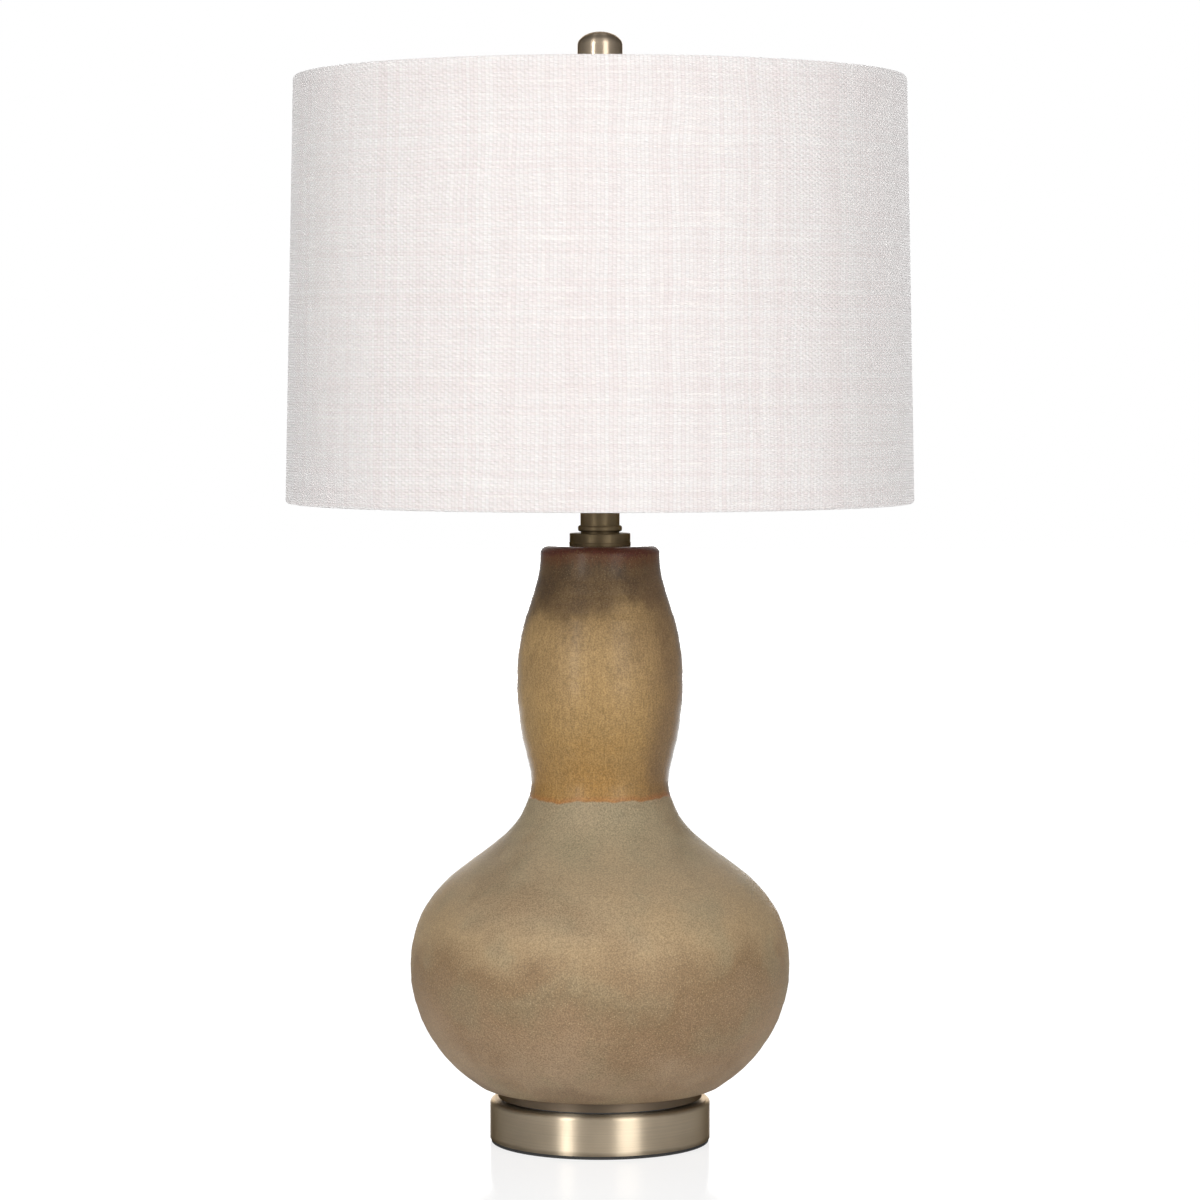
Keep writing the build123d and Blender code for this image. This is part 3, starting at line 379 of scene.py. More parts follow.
dress(black_pad, "foot_pad")
dress(black_rubber, "seat_gasket", "top_gasket")
dress(black_plastic, "cord_bushing", "socket_body", "switch_knob")
dress(cast_iron, "base_weight", "collar_spacer")
dress(white_liner, "shade_liner")
dress(fibre_board, "socket_liner")
dress(black_glass, "bulb_insulator")
dress(frosted_glass, "bulb_globe")
dress(clear_glass, "bulb_stem")

# %% [markdown]
# ## Turning a piece
# A potter's wheel, a metal spinner's lathe and Blender's Screw modifier all do the same
# thing: they carry one outline round an axis. The modifier is quick, but it turns every
# point alike, and real glaze and cloth are never quite round. Building the rings of points
# directly lets each one shift a little, for a run of glaze or an overlapping seam. Where an
# outline touches the axis, a whole ring falls on one spot, so the spare points and any edge
# left without a face are taken out.

# %% Turned mesh
TURN = 2 * math.pi
SAME_POINT = 1e-6


def curve_points(start, pull_start, pull_end, end, steps):
    """Points along a Bezier curve, without its last one."""
    points = []
    for step in range(steps):
        t = step / steps
        weights = ((1 - t) ** 3, 3 * t * (1 - t) ** 2, 3 * t * t * (1 - t), t**3)
        corners = (start, pull_start, pull_end, end)
        points.append(tuple(sum(w * c[i] for w, c in zip(weights, corners)) for i in (0, 1)))
    return points


def line_points(start, end, steps):
    """Points along a straight line, without its last one."""
    return [tuple(a + (b - a) * step / steps for a, b in zip(start, end)) for step in range(steps)]


def turned(name, outline, segments, shift=None, sharp=35.0):
    """A closed outline of (radius, height) points turned round the lamp's axis.
    shift(angle, radius, height) gives how far a point moves outwards; angle 0 is the front."""
    points = []
    for radius, height in outline:
        for step in range(segments):
            angle = TURN * step / segments
            here = radius + (shift(angle, radius, height) if shift else 0.0)
            points.append((here * math.sin(angle), -here * math.cos(angle), height))
    rings = len(outline)
    faces = []
    for ring in range(rings):
        low, high = ring * segments, (ring + 1) % rings * segments
        for step in range(segments):
            after = (step + 1) % segments
            faces.append((low + step, low + after, high + after, high + step))
    mesh = bpy.data.meshes.new(name)
    mesh.from_pydata(points, [], faces)
    work = bmesh.new()
    work.from_mesh(mesh)
    bmesh.ops.remove_doubles(work, verts=work.verts, dist=SAME_POINT)
    bmesh.ops.delete(work, geom=[edge for edge in work.edges if edge.is_wire], context="EDGES")
    bmesh.ops.recalc_face_normals(work, faces=work.faces)
    work.to_mesh(mesh)
    work.free()
    mesh.shade_smooth()
    mesh.set_sharp_from_angle(angle=math.radians(sharp))
    piece = bpy.data.objects.new(name, mesh)
    bpy.context.scene.collection.objects.link(piece)
    print(f"{name}: {len(points)} points, {segments} round by {rings} along the outline")
    return piece


# %% [markdown]
# ## The gourd
# The body is stoneware, thrown as a wide pot and a small one, joined at the waist and dipped
# twice. Its outline is four long curves that all stand upright where they meet: at the
# belly, the waist, the upper swelling and the lip. Drawing it as four Bezier curves keeps
# it as smooth as a thrown pot; a chain of short segments would show as flats in the
# highlights. The same numbers shape the solid model, so the glaze sits where the clay is.

# %% Outline of the gourd
FOOT_HEIGHT = 0.0365
FOOT_HOLE = 0.046
NECK_HOLE = 0.0115
WALL = 0.006
FOOT = (0.0774, 0.0)
BELLY = (0.1236, 0.0773)
WAIST = (0.0449, 0.2018)
BULGE = (0.0543, 0.2646)
LIP = (0.0391, 0.3467)
TOP = 0.3523
FLOOR = 0.007
CEILING = TOP - 0.008
FOOT_LEAN = math.radians(31.5)
FOOT_PULL = 0.5614
PULLS = {"belly": (0.6056, 0.4610), "waist": (0.1433, 0.5701), "bulge": (0.5384, 0.3410)}
BELLY_PULL = 0.2587
LIP_ROUND = (0.0065, 0.0045)
LIP_FLAT = 0.030
FOOT_FLAT = 0.06
FOOT_BREAK = 0.0008
OUTER_STEPS = 64
INNER_STEPS = 12
LIP_STEPS = 8


def upright_curve(low, high, pulls, steps):
    span = high[1] - low[1]
    low_pull = (low[0], low[1] + pulls[0] * span)
    high_pull = (high[0], high[1] - pulls[1] * span)
    return curve_points(low, low_pull, high_pull, high, steps)


def gourd_side(inset, start, end, steps):
    """The side from a start height to an end height, moved in by inset at its extremes."""
    belly, waist, bulge = [(r - inset, h) for r, h in (BELLY, WAIST, BULGE)]
    lip = (LIP[0] - inset, end)
    span = belly[1] - start
    reach = FOOT_PULL * span
    lean = (FOOT[0] + reach * math.cos(FOOT_LEAN), start + reach * math.sin(FOOT_LEAN))
    belly_pull = (belly[0], belly[1] - BELLY_PULL * span)
    side = curve_points((FOOT[0], start), lean, belly_pull, belly, steps)
    side += upright_curve(belly, waist, PULLS["belly"], int(steps * 1.3))
    side += upright_curve(waist, bulge, PULLS["waist"], steps // 2)
    side += upright_curve(bulge, lip, PULLS["bulge"], steps)
    return side


def corner(centre, reach, rise, start, end, steps=6):
    """Points round a quarter or more of an ellipse that reaches out and rises that far. The
    angles are in degrees from straight out, counted upwards."""
    angles = [math.radians(start + (end - start) * step / steps) for step in range(steps + 1)]
    return [(centre[0] + reach * math.cos(a), centre[1] + rise * math.sin(a)) for a in angles]


outer = gourd_side(0.0, 0.0, LIP[1], OUTER_STEPS)
lip_centre = (LIP[0] - LIP_ROUND[0], TOP - LIP_ROUND[1])
lip_corner = corner(lip_centre, *LIP_ROUND, 0, 90, LIP_STEPS)
inner = gourd_side(WALL, FLOOR, CEILING, INNER_STEPS)
outline = [(FOOT_HOLE, 0.0), (FOOT_FLAT, 0.0), (FOOT[0] - FOOT_BREAK, 0.0)] + outer[1:]
outline += [LIP] + lip_corner + line_points((LIP_FLAT, TOP), (NECK_HOLE, TOP), 6)
outline += [(NECK_HOLE, TOP), (NECK_HOLE, CEILING)]
outline += [(LIP[0] - WALL, CEILING)] + inner[::-1][:-1] + [(FOOT[0], FLOOR), (FOOT_HOLE, FLOOR)]
coarse_outline = [(radius, FOOT_HEIGHT + height) for radius, height in outline]
print("the gourd's outline has", len(coarse_outline), "points and is", round(TOP, 4), "m tall")

# %% [markdown]
# ## The glaze's edge
# The upper glaze was dipped over the lower one and stops in a clear, slightly wandering line
# just under the waist, as thick as a fingernail. That edge is real relief, so the mesh
# itself steps there. A few waves of different lengths, added up round the pot, make a line
# that looks unplanned and still meets itself. How far each point lies above that line is
# stored on the mesh as an attribute, and the material reads it back, so the colour changes
# exactly where the surface steps.

# %% Gourd with its glaze edge
GLAZE_EDGE = 0.2255
GLAZE_STEP = 0.00025
GLAZE_SLOPE = 0.0008
EDGE_WAVES = (
    (2, 0.0007, 0.4),
    (5, 0.0005, 2.1),
    (9, 0.0004, 4.0),
    (16, 0.0003, 1.2),
    (31, 0.0002, 5.0),
)
RIDGES = ((0.0061, 0.00005), (0.0113, 0.00007), (0.0237, 0.00009))
RELIEF_INSET = 0.0002
INSIDE_RADIUS = 0.041
NEAR_EDGE = 0.003
GOURD_SEGMENTS = 300


def glaze_edge(angle):
    """The height of the upper glaze's edge. Each wave is (how many round, size, start)."""
    waves = [size * math.sin(count * angle + start) for count, size, start in EDGE_WAVES]
    return GLAZE_EDGE + sum(waves)


def finer(outline, low, high, parts):
    """Divides the outline's steps between two heights of its outer side."""
    points = []
    for point, after in zip(outline, outline[1:] + outline[:1]):
        near = low < point[1] < high and after[1] > point[1]
        points += line_points(point, after, parts if near else 1)
    return points


def gourd_relief(angle, radius, height):
    """Throwing ridges, and the upper glaze's thickness."""
    above = (height - glaze_edge(angle)) / GLAZE_SLOPE
    step = GLAZE_STEP * min(1.0, max(0.0, above))
    ridges = sum(size * math.sin(TURN * height / length) for length, size in RIDGES)
    return (ridges - RELIEF_INSET + step) if radius > INSIDE_RADIUS else 0.0


gourd_outline = finer(coarse_outline, GLAZE_EDGE - NEAR_EDGE, GLAZE_EDGE + NEAR_EDGE, 3)
gourd = turned("glazed_gourd", gourd_outline, GOURD_SEGMENTS, gourd_relief)
attribute = gourd.data.attributes.new("above_edge", "FLOAT", "POINT")
values = []
for vertex in gourd.data.vertices:
    angle = math.atan2(vertex.co.x, -vertex.co.y)
    values.append(vertex.co.z - glaze_edge(angle))
attribute.data.foreach_set("value", values)
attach(gourd, "root")
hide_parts("gourd_lower", "gourd_upper")
edge_heights = [glaze_edge(TURN * step / GOURD_SEGMENTS) for step in range(GOURD_SEGMENTS)]
print("glaze edge between", round(min(edge_heights), 4), "and", round(max(edge_heights), 4), "m")


# %% [markdown]
# ## Reactive glaze
# The two glazes changed in the kiln as they ran. The upper one is a satin golden tan with
# fine upright streaks, smoky near the top, and red brown where it broke thin over the lip.
# A darker patch on its right side, fading towards the back, is painted shade. The lower one
# is matt khaki with a sandy speckle, greener on the shoulder and browner towards the foot.
# A photograph wrapped round the pot would show its join; colour ramps that follow the
# height, disturbed by noise, give the same run of colour from every side. Only the upper
# glaze has a clear gloss, and it shows most where the surface turns away, so Layer Weight
# raises the coat there.

# %% Colour ramps that follow the height
def ramp(tree, value, low, high, stops):
    """A colour ramp over a range of heights. stops are (share, (red, green, blue))."""
    share = add(tree, "MapRange", {0: value, 1: low, 2: high}).outputs[0]
    made = add(tree, "ValToRGB", {0: share})
    elements = made.color_ramp.elements
    while len(elements) < len(stops):
        elements.new(0.5)
    for element, (position, colour) in zip(elements, stops):
        element.position = position
        element.color = rgb(*colour)
    return made.outputs[0]


GOURD_TOP = FOOT_HEIGHT + TOP
UPPER_GLAZE = (
    (0.00, (150, 114, 62)),
    (0.25, (152, 122, 76)),
    (0.60, (160, 131, 88)),
    (0.71, (144, 117, 78)),
    (0.79, (105, 83, 55)),
    (0.87, (80, 61, 40)),
    (1.00, (84, 62, 37)),
)
LOWER_GLAZE = (
    (0.00, (142, 120, 96)),
    (0.07, (160, 137, 110)),
    (0.22, (150, 125, 97)),
    (0.40, (137, 112, 82)),
    (0.55, (166, 142, 108)),
    (0.70, (162, 141, 111)),
    (0.85, (156, 139, 111)),
    (1.00, (146, 131, 104)),
)

# %% Reactive glaze, its runs of colour
STREAK_SPREAD = (620.0, 620.0, 120.0)
RUST_HEIGHTS = (0.3735, 0.3820)
LIP_HEIGHTS = (0.3820, 0.3850)
LIP_WANDER = 0.008
LIP_FRINGE = 0.010
# Where round the pot the painted shade on the right side starts and ends, as angles.
RIGHT_SHADE_FROM = (0.35, 1.0)
RIGHT_SHADE_TO = (1.6, 2.4)
SAND = 980.0
SAND_DEPTH = 0.00022
SPARKS = 1300.0
EDGE_RISE = (-0.0006, 0.0009)
RUST_RISE = (0.0005, 0.005)

glaze, tree, shader = new_material(
    "reactive_glaze", IOR=1.5, Specular_IOR_Level=0.25, Coat_Roughness=0.14, Coat_IOR=1.5
)
place = use_group(tree, round_place)
grain = use_group(tree, grain_group, Scale=SAND)
point = add(tree, "TexCoord").outputs["Object"]
cloud_inputs = {"Vector": point, "Scale": 11.0, "Detail": 4.0, "Roughness": 0.6}
clouds = add(tree, "TexNoise", cloud_inputs).outputs[0]
patches = add(tree, "TexNoise", {"Vector": point, "Scale": 31.0, "Detail": 2.0}).outputs[0]
off_centre = calc(tree, "SUBTRACT", clouds, 0.5)

off_patch = calc(tree, "SUBTRACT", patches, 0.5)
wander = calc(tree, "MULTIPLY_ADD", off_centre, 0.085, calc(tree, "MULTIPLY", off_patch, 0.045))
run_height = calc(tree, "ADD", place["Height"], wander)
upper = ramp(tree, run_height, GLAZE_EDGE, GOURD_TOP, UPPER_GLAZE)
lower = ramp(tree, run_height, FOOT_HEIGHT, GLAZE_EDGE, LOWER_GLAZE)

drawn_up = add(tree, "VectorMath", {0: point, 1: STREAK_SPREAD}, operation="MULTIPLY").outputs[0]
streak_inputs = {"Vector": drawn_up, "Scale": 1.0, "Detail": 3.0, "Roughness": 0.7}
streaks = add(tree, "TexNoise", streak_inputs).outputs[0]
streak_tone = spread(tree, streaks, 0.28, 0.72, 0.84, 1.16)
upper = blend_colours(tree, 1.0, upper, grey(tree, streak_tone), "MULTIPLY")
olive = spread(tree, patches, 0.5, 0.72, 0.0, 0.28)
upper = blend_colours(tree, olive, upper, rgb(122, 96, 60))
# Painted shade: a darker patch on the right of the upper swelling, fading towards the back.
right_shade_place = calc(tree, "MULTIPLY_ADD", off_centre, 1.2, place["Angle"])
right_shade_starts = spread(tree, right_shade_place, *RIGHT_SHADE_FROM)
right_shade_ends = spread(tree, right_shade_place, *RIGHT_SHADE_TO, 0.6, 0.0)
painted_right_shade = calc(tree, "MULTIPLY", right_shade_starts, right_shade_ends)
upper = blend_colours(tree, painted_right_shade, upper, rgb(104, 80, 58))
broken = calc(tree, "MULTIPLY_ADD", off_patch, LIP_WANDER, place["Height"])
broken = calc(tree, "MULTIPLY_ADD", calc(tree, "SUBTRACT", streaks, 0.5), LIP_FRINGE, broken)
rust_fringe = spread(tree, broken, *RUST_HEIGHTS, 0.0, 0.8)
upper = blend_colours(tree, rust_fringe, upper, rgb(92, 56, 30))
upper = blend_colours(tree, spread(tree, broken, *LIP_HEIGHTS), upper, rgb(78, 36, 22))

green = spread(tree, patches, 0.46, 0.7, 0.0, 0.32)
lower = blend_colours(tree, green, lower, rgb(140, 131, 104))
brown = spread(tree, clouds, 0.5, 0.68, 0.0, 0.42)
lower = blend_colours(tree, brown, lower, rgb(132, 106, 78))

speck_tone = spread(tree, grain["Grain"], 0.0, 1.0, 0.80, 1.18)
sparks = add(tree, "TexNoise", {"Vector": point, "Scale": SPARKS, "Detail": 1.0}).outputs[0]
sparks = spread(tree, sparks, 0.6, 0.74, 0.0, 0.36)

# %% Reactive glaze, the two glazes together
above = add(tree, "Attribute", attribute_name="above_edge").outputs["Fac"]
covered = spread(tree, above, *EDGE_RISE)
rust = calc(tree, "MULTIPLY", spread(tree, above, *RUST_RISE, 0.6, 0.0), clouds)
upper = blend_colours(tree, rust, upper, rgb(168, 96, 54))
glaze_colour = blend_colours(tree, covered, lower, upper)
glaze_colour = blend_colours(tree, 1.0, glaze_colour, grey(tree, speck_tone), "MULTIPLY")
sparks = calc(tree, "MULTIPLY", sparks, calc(tree, "MULTIPLY_ADD", covered, -0.6, 1.0))
glaze_colour = blend_colours(tree, sparks, glaze_colour, rgb(214, 192, 150))
tree.links.new(glaze_colour, shader.inputs["Base Color"])
matt = spread(tree, grain["Grain"], 0.0, 1.0, 0.52, 0.66)
rough = add(tree, "Mix", {0: covered, 2: matt, 3: 0.48}, data_type="FLOAT").outputs[0]
tree.links.new(rough, shader.inputs["Roughness"])
facing = add(tree, "LayerWeight", {"Blend": 0.5}).outputs["Facing"]
rim_gloss = spread(tree, facing, 0.55, 0.8, 0.05, 1.0)
tree.links.new(calc(tree, "MULTIPLY", covered, rim_gloss), shader.inputs["Coat Weight"])
sand = calc(tree, "MULTIPLY", grain["Grain"], calc(tree, "MULTIPLY_ADD", covered, -0.75, 1.0))
raise_surface(tree, shader, sand, SAND_DEPTH)
gourd.data.materials.append(glaze)
print("glaze made with", len(tree.nodes), "nodes")

# %% [markdown]
# ## The shade's cloth
# The shade is a hard drum: a white plastic liner with slub linen glued round it and rolled
# in over a wire at each rim. The cloth is one strip. Its ends overlap at the back, and its
# rolled rims are soft and round where a plain tube would be square. The strip is stretched
# on the liner and hangs nowhere, so a cloth simulation would leave it exactly where it is.
# An outline with round rims is turned instead, with the overlap added as a shift.

# %% Shade cloth
SHADE_LOW = 0.4163
SHADE_HIGH = 0.6903
SHADE_LOW_RADIUS = 0.2032
SHADE_TAPER = 0.0058
CLOTH = 0.0008
RIM_WIDTH = 0.0051
RIM_ROUND = 0.0025
HEM_DEPTH = 0.007
LAP_WIDTH = 0.012
LAP_STEP = 0.0007


def shade_radius(height):
    return SHADE_LOW_RADIUS - (height - SHADE_LOW) / (SHADE_HIGH - SHADE_LOW) * SHADE_TAPER


def rim_points(end):
    """The rolled rim: from the outer face over the wire to the hem's end. end is +1 at the top."""
    rim = SHADE_HIGH if end > 0 else SHADE_LOW
    outside = shade_radius(rim - end * RIM_ROUND)
    inside = outside - RIM_WIDTH
    centre_out = (outside - RIM_ROUND, rim - end * RIM_ROUND)
    centre_in = (inside + RIM_ROUND, rim - end * RIM_ROUND)
    rolled = corner(centre_out, RIM_ROUND, RIM_ROUND, 0, end * 90)
    rolled += corner(centre_in, RIM_ROUND, RIM_ROUND, end * 90, end * 180)
    hem_end = rim - end * HEM_DEPTH
    under_rim, under_round = rim - end * CLOTH, rim - end * (RIM_ROUND + CLOTH / 2)
    rolled += [(inside, hem_end), (inside + CLOTH / 2, hem_end - end * CLOTH / 2)]
    rolled += [(inside + CLOTH, hem_end), (inside + CLOTH, under_round)]
    rolled += [(inside + RIM_ROUND, under_rim), (outside - RIM_ROUND, under_rim)]
    return rolled + [(outside - CLOTH, under_round)]


ROWS = 40
SHADE_SEGMENTS = 960
FOLD_ANGLE = 70.0
low_face, high_face = SHADE_LOW + RIM_ROUND, SHADE_HIGH - RIM_ROUND
face_heights = [low_face + (high_face - low_face) * row / ROWS for row in range(1, ROWS)]
cloth_outline = [(shade_radius(h), h) for h in face_heights]
cloth_outline += rim_points(1)
cloth_outline += [(shade_radius(h) - CLOTH, h) for h in face_heights[::-1][::4]]
cloth_outline += rim_points(-1)[::-1]


def lap(angle, radius, height):
    """The strip's end lies over its start at the back, with a soft edge."""
    from_back = (angle - math.pi) * radius
    if radius < shade_radius(height) - CLOTH / 2:
        return 0.0
    return LAP_STEP if -LAP_WIDTH / 2 < from_back < LAP_WIDTH / 2 else 0.0


cloth = turned("shade_cloth", cloth_outline, SHADE_SEGMENTS, lap, sharp=FOLD_ANGLE)
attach(cloth, "shade")
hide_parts("shade_fabric")
around = TURN * shade_radius((SHADE_LOW + SHADE_HIGH) / 2) + LAP_WIDTH

# %% [markdown]
# ## Slub linen
# Linen yarn is uneven. Here and there a thread swells into a slub, a pale thick stretch a
# few centimetres long, and plain weave shows it as a dash: lying across for the weft,
# upright for the warp. So the pattern needs to know which thread it is on. Dividing the
# distance round the shade and the height by the thread spacing and rounding down gives each
# thread a number; white noise turns that number into the thread's own tone, and a noise that
# runs along the thread gives its slubs. The over and under of the weave is a wave in both
# directions, swapped from one crossing to the next. The threads are twisted, so one slant
# stands out a little more than the other. The gaps are painted slightly darker, as painted
# shade between the threads, but most of what shows is relief, faint in front and clear at the
# sides, as light rakes over it there. A Bump node compares heights a pixel apart, and a thread
# is only two or three pixels wide in the picture, so the depth is written larger than the yarn
# is thick. Linen is also rough and fuzzy, which a high diffuse roughness and a sheen give, and
# without them the sides of the drum would go too dark.

# %% Weave
THREADS_ROUND = 492
THREAD_RISE = 0.00160
LEAN = 0.4
SLUB_RATE = 24.0
SWAY = 2.0
MEAN_RADIUS = 0.2


def threads(tree, across, along, seed):
    """One set of threads. across counts threads, along is the distance along them in metres.
    Returns each thread's own tone, its slubs from 0 to 1, its number, and a wave that is
    zero in the gaps between threads."""
    number = calc(tree, "FLOOR", across)
    seeded = calc(tree, "ADD", number, seed)
    tone = add(tree, "TexWhiteNoise", {"W": seeded}, noise_dimensions="1D").outputs[0]
    far = calc(tree, "MULTIPLY", along, SLUB_RATE)
    where = add(tree, "CombineXYZ", {0: far, 1: calc(tree, "MULTIPLY", seeded, 7.31)}).outputs[0]
    slub = add(tree, "TexNoise", {"Vector": where, "Scale": 1.0, "Detail": 2.0}).outputs[0]
    wave = calc(tree, "SINE", calc(tree, "MULTIPLY", across, math.pi))
    return tone, spread(tree, slub, 0.5, 0.85), number, wave


linen, tree, shader = new_material(
    "slub_linen", Sheen_Weight=1.0, Sheen_Roughness=0.4, IOR=1.4, Diffuse_Roughness=1.0
)
place = use_group(tree, round_place)
turns = calc(tree, "MULTIPLY_ADD", place["Angle"], 1 / TURN, 0.5)
point = add(tree, "TexCoord").outputs["Object"]
sway = add(tree, "TexNoise", {"Vector": point, "Scale": 16.0, "Detail": 1.0}).outputs[0]
sway = calc(tree, "MULTIPLY_ADD", sway, SWAY, -SWAY / 2)
warp_count = calc(tree, "MULTIPLY_ADD", turns, float(THREADS_ROUND), sway)
weft_count = calc(tree, "ADD", calc(tree, "DIVIDE", place["Height"], THREAD_RISE), sway)
distance_round = calc(tree, "MULTIPLY", place["Angle"], MEAN_RADIUS)
warp_tone, warp_slub, warp_number, warp_wave = threads(tree, warp_count, place["Height"], 3.0)
weft_tone, weft_slub, weft_number, weft_wave = threads(tree, weft_count, distance_round, 900.0)

# %% Weave, its relief
LATTICE_SHARE = 0.65
RIDGE_SHARE = 0.5
SLUB_SHARE = 0.35
WEAVE_DEPTH = 0.0019
WEAVE_STRENGTH = 0.7

checks = calc(tree, "MULTIPLY", warp_wave, weft_wave)
both_counts = calc(tree, "MULTIPLY", calc(tree, "ADD", warp_count, weft_count), math.pi)
slant = calc(tree, "MULTIPLY", calc(tree, "COSINE", both_counts), -LEAN)
lattice = calc(tree, "MULTIPLY_ADD", calc(tree, "ADD", checks, slant), 0.5 / (1 + LEAN), 0.5)
slub = calc(tree, "MAXIMUM", calc(tree, "MULTIPLY", warp_slub, 0.55), weft_slub)
cross_place = add(tree, "CombineXYZ", {0: warp_number, 1: weft_number}).outputs[0]
cross_tone = add(tree, "TexWhiteNoise", {"Vector": cross_place}, noise_dimensions="3D").outputs[0]
cross_height = spread(tree, cross_tone, 0.0, 1.0, 0.4, 1.0)
ridge = calc(tree, "MULTIPLY", calc(tree, "ABSOLUTE", weft_wave), cross_height)
ridge = calc(tree, "MULTIPLY", ridge, RIDGE_SHARE)
cloth_height = calc(tree, "MULTIPLY_ADD", lattice, LATTICE_SHARE, ridge)
cloth_height = calc(tree, "MULTIPLY_ADD", slub, SLUB_SHARE, cloth_height)
raise_surface(tree, shader, cloth_height, WEAVE_DEPTH, WEAVE_STRENGTH)
print("the weave's bump distance is", WEAVE_DEPTH * 1000, "mm")

# %% Weave, its colour
# Painted shade: the gaps between the raised threads get the darker colour.
CLOTH_GAP_SHADE = rgb(230, 226, 224)
CLOTH_TONE = rgb(239, 237, 236)
CLOTH_SLUB = rgb(250, 247, 243)
CLOTH_PINK = rgb(250, 244, 244)
on_warp = spread(tree, calc(tree, "ABSOLUTE", warp_wave), 0.1, 0.75)
on_weft = spread(tree, calc(tree, "ABSOLUTE", weft_wave), 0.1, 0.75, 0.6, 1.0)
on_both = calc(tree, "MULTIPLY", on_warp, on_weft)
raised = calc(tree, "MULTIPLY", on_both, spread(tree, lattice, 0.0, 0.6, 0.7, 1.0))
thread_colour = blend_colours(tree, raised, CLOTH_GAP_SHADE, CLOTH_TONE)
tone = calc(tree, "MULTIPLY", calc(tree, "ADD", warp_tone, weft_tone), 0.5)
pinkish = blend_colours(tree, 1.0, thread_colour, CLOTH_PINK, "MULTIPLY")
thread_colour = blend_colours(tree, tone, thread_colour, pinkish)
half_slub = calc(tree, "MULTIPLY", slub, 0.5)
thread_colour = blend_colours(tree, half_slub, thread_colour, CLOTH_SLUB)
cross_tone = spread(tree, cross_tone, 0.0, 1.0, 0.96, 1.0)
thread_colour = blend_colours(tree, 1.0, thread_colour, grey(tree, cross_tone), "MULTIPLY")
tree.links.new(thread_colour, shader.inputs["Base Color"])
rough = spread(tree, cloth_height, 0.0, 1.0, 0.95, 0.8)
tree.links.new(rough, shader.inputs["Roughness"])
cloth.data.materials.append(linen)
print("linen:", THREADS_ROUND, "warp threads round, a weft every", THREAD_RISE * 1000, "mm")

# %% [markdown]
# ## The bulb's screw cap
# A bulb's cap is thin nickelled sheet, rolled into a screw with about seven turns to the
# inch. Under the shade it can be seen from above, and when the bulb is out the thread is
# the first thing one notices. Blender's Screw modifier would wind a spiral that doesn't
# close at its ends. Turning the cap as rings and pressing the thread in with the shift
# keeps it a closed sheet of even thickness, and the thread fades out at both ends.

# %% Threaded cap
CAP_LOW = 0.4933
CAP_TIP = 0.0095
CAP_SIDE = 0.01305
CAP_TAPER = 0.002
CAP_SHEET = 0.0005
CAP_TALL = 0.021
THREAD_PITCH = 0.00364
THREAD_DEPTH = 0.0008
THREAD_LOW = CAP_LOW + 0.0024
THREAD_HIGH = CAP_LOW + 0.0145
THREAD_FADE = 0.0012


def thread(angle, radius, height):
    """A right-handed thread, pressed in between its two ends."""
    if radius < CAP_SIDE - 2 * CAP_SHEET:
        return 0.0
    end = min(height - THREAD_LOW, THREAD_HIGH - height) / THREAD_FADE
    turn = TURN * height / THREAD_PITCH - angle
    return -THREAD_DEPTH * min(1.0, max(0.0, end)) * (0.5 - 0.5 * math.cos(turn))


CAP_ROWS = 64
CAP_SEGMENTS = 96
side_low, side_high = CAP_LOW + CAP_TAPER, CAP_LOW + CAP_TALL
outer_side = line_points((CAP_SIDE, side_low), (CAP_SIDE, side_high), CAP_ROWS)
outer_side += [(CAP_SIDE, side_high)]
inner_side = [(radius - CAP_SHEET, height) for radius, height in outer_side[:0:-1]]
hole = CAP_TIP - CAP_TAPER
cap_outline = [(hole, CAP_LOW), (CAP_TIP, CAP_LOW)] + outer_side + inner_side
sheet_high = CAP_LOW + CAP_SHEET
cap_outline += [(CAP_SIDE - CAP_SHEET, side_low + CAP_SHEET / 2)]
cap_outline += [(CAP_TIP, sheet_high), (hole, sheet_high)]
screw_cap = turned("screw_cap", cap_outline, CAP_SEGMENTS, thread)
screw_cap.data.materials.append(bright_nickel)
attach(screw_cap, "bulb")
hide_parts("bulb_cap")
print("thread turns:", round((THREAD_HIGH - THREAD_LOW) / THREAD_PITCH, 1))

# %% [markdown]
# ## The finial
# The finial is the one piece of hardware on show above the shade: a brass thimble with a full
# round crown, spun on a lathe and brushed round. It holds the shade down and is turned by
# hand. The crown is a quarter of an ellipse, wider than it is high, so the two bright stripes
# of the soft boxes run up it and close over the top. A cylinder with a bevelled edge would
# stop them short at a ring.

# %% Domed finial
FINIAL_LOW = 0.6819
FINIAL_HIGH = 0.7197
FINIAL_SIDE = 0.0146
FINIAL_DOME = 0.0088
FINIAL_FOOT = (0.009, 0.002)
FINIAL_BORE = (0.00605, 0.01505)
FINIAL_BREAK = 0.0005
FINIAL_SEGMENTS = 128
DOME_STEPS = 24

body_low = FINIAL_LOW + FINIAL_FOOT[1]
dome_low = FINIAL_HIGH - FINIAL_DOME
finial_outline = [(FINIAL_FOOT[0], FINIAL_LOW), (FINIAL_FOOT[0], body_low)]
finial_outline += [(FINIAL_SIDE - FINIAL_BREAK, body_low), (FINIAL_SIDE, body_low + FINIAL_BREAK)]
side_low = body_low + 2 * FINIAL_BREAK
finial_outline += line_points((FINIAL_SIDE, side_low), (FINIAL_SIDE, dome_low), 8)
finial_outline += corner((0.0, dome_low), FINIAL_SIDE, FINIAL_DOME, 0, 90, DOME_STEPS)
bore_top = FINIAL_LOW + FINIAL_BORE[1]
finial_outline += [(0.0, bore_top), (FINIAL_BORE[0], bore_top), (FINIAL_BORE[0], FINIAL_LOW)]
domed_finial = turned("domed_finial", finial_outline, FINIAL_SEGMENTS)
domed_finial.data.materials.append(finial_brass)
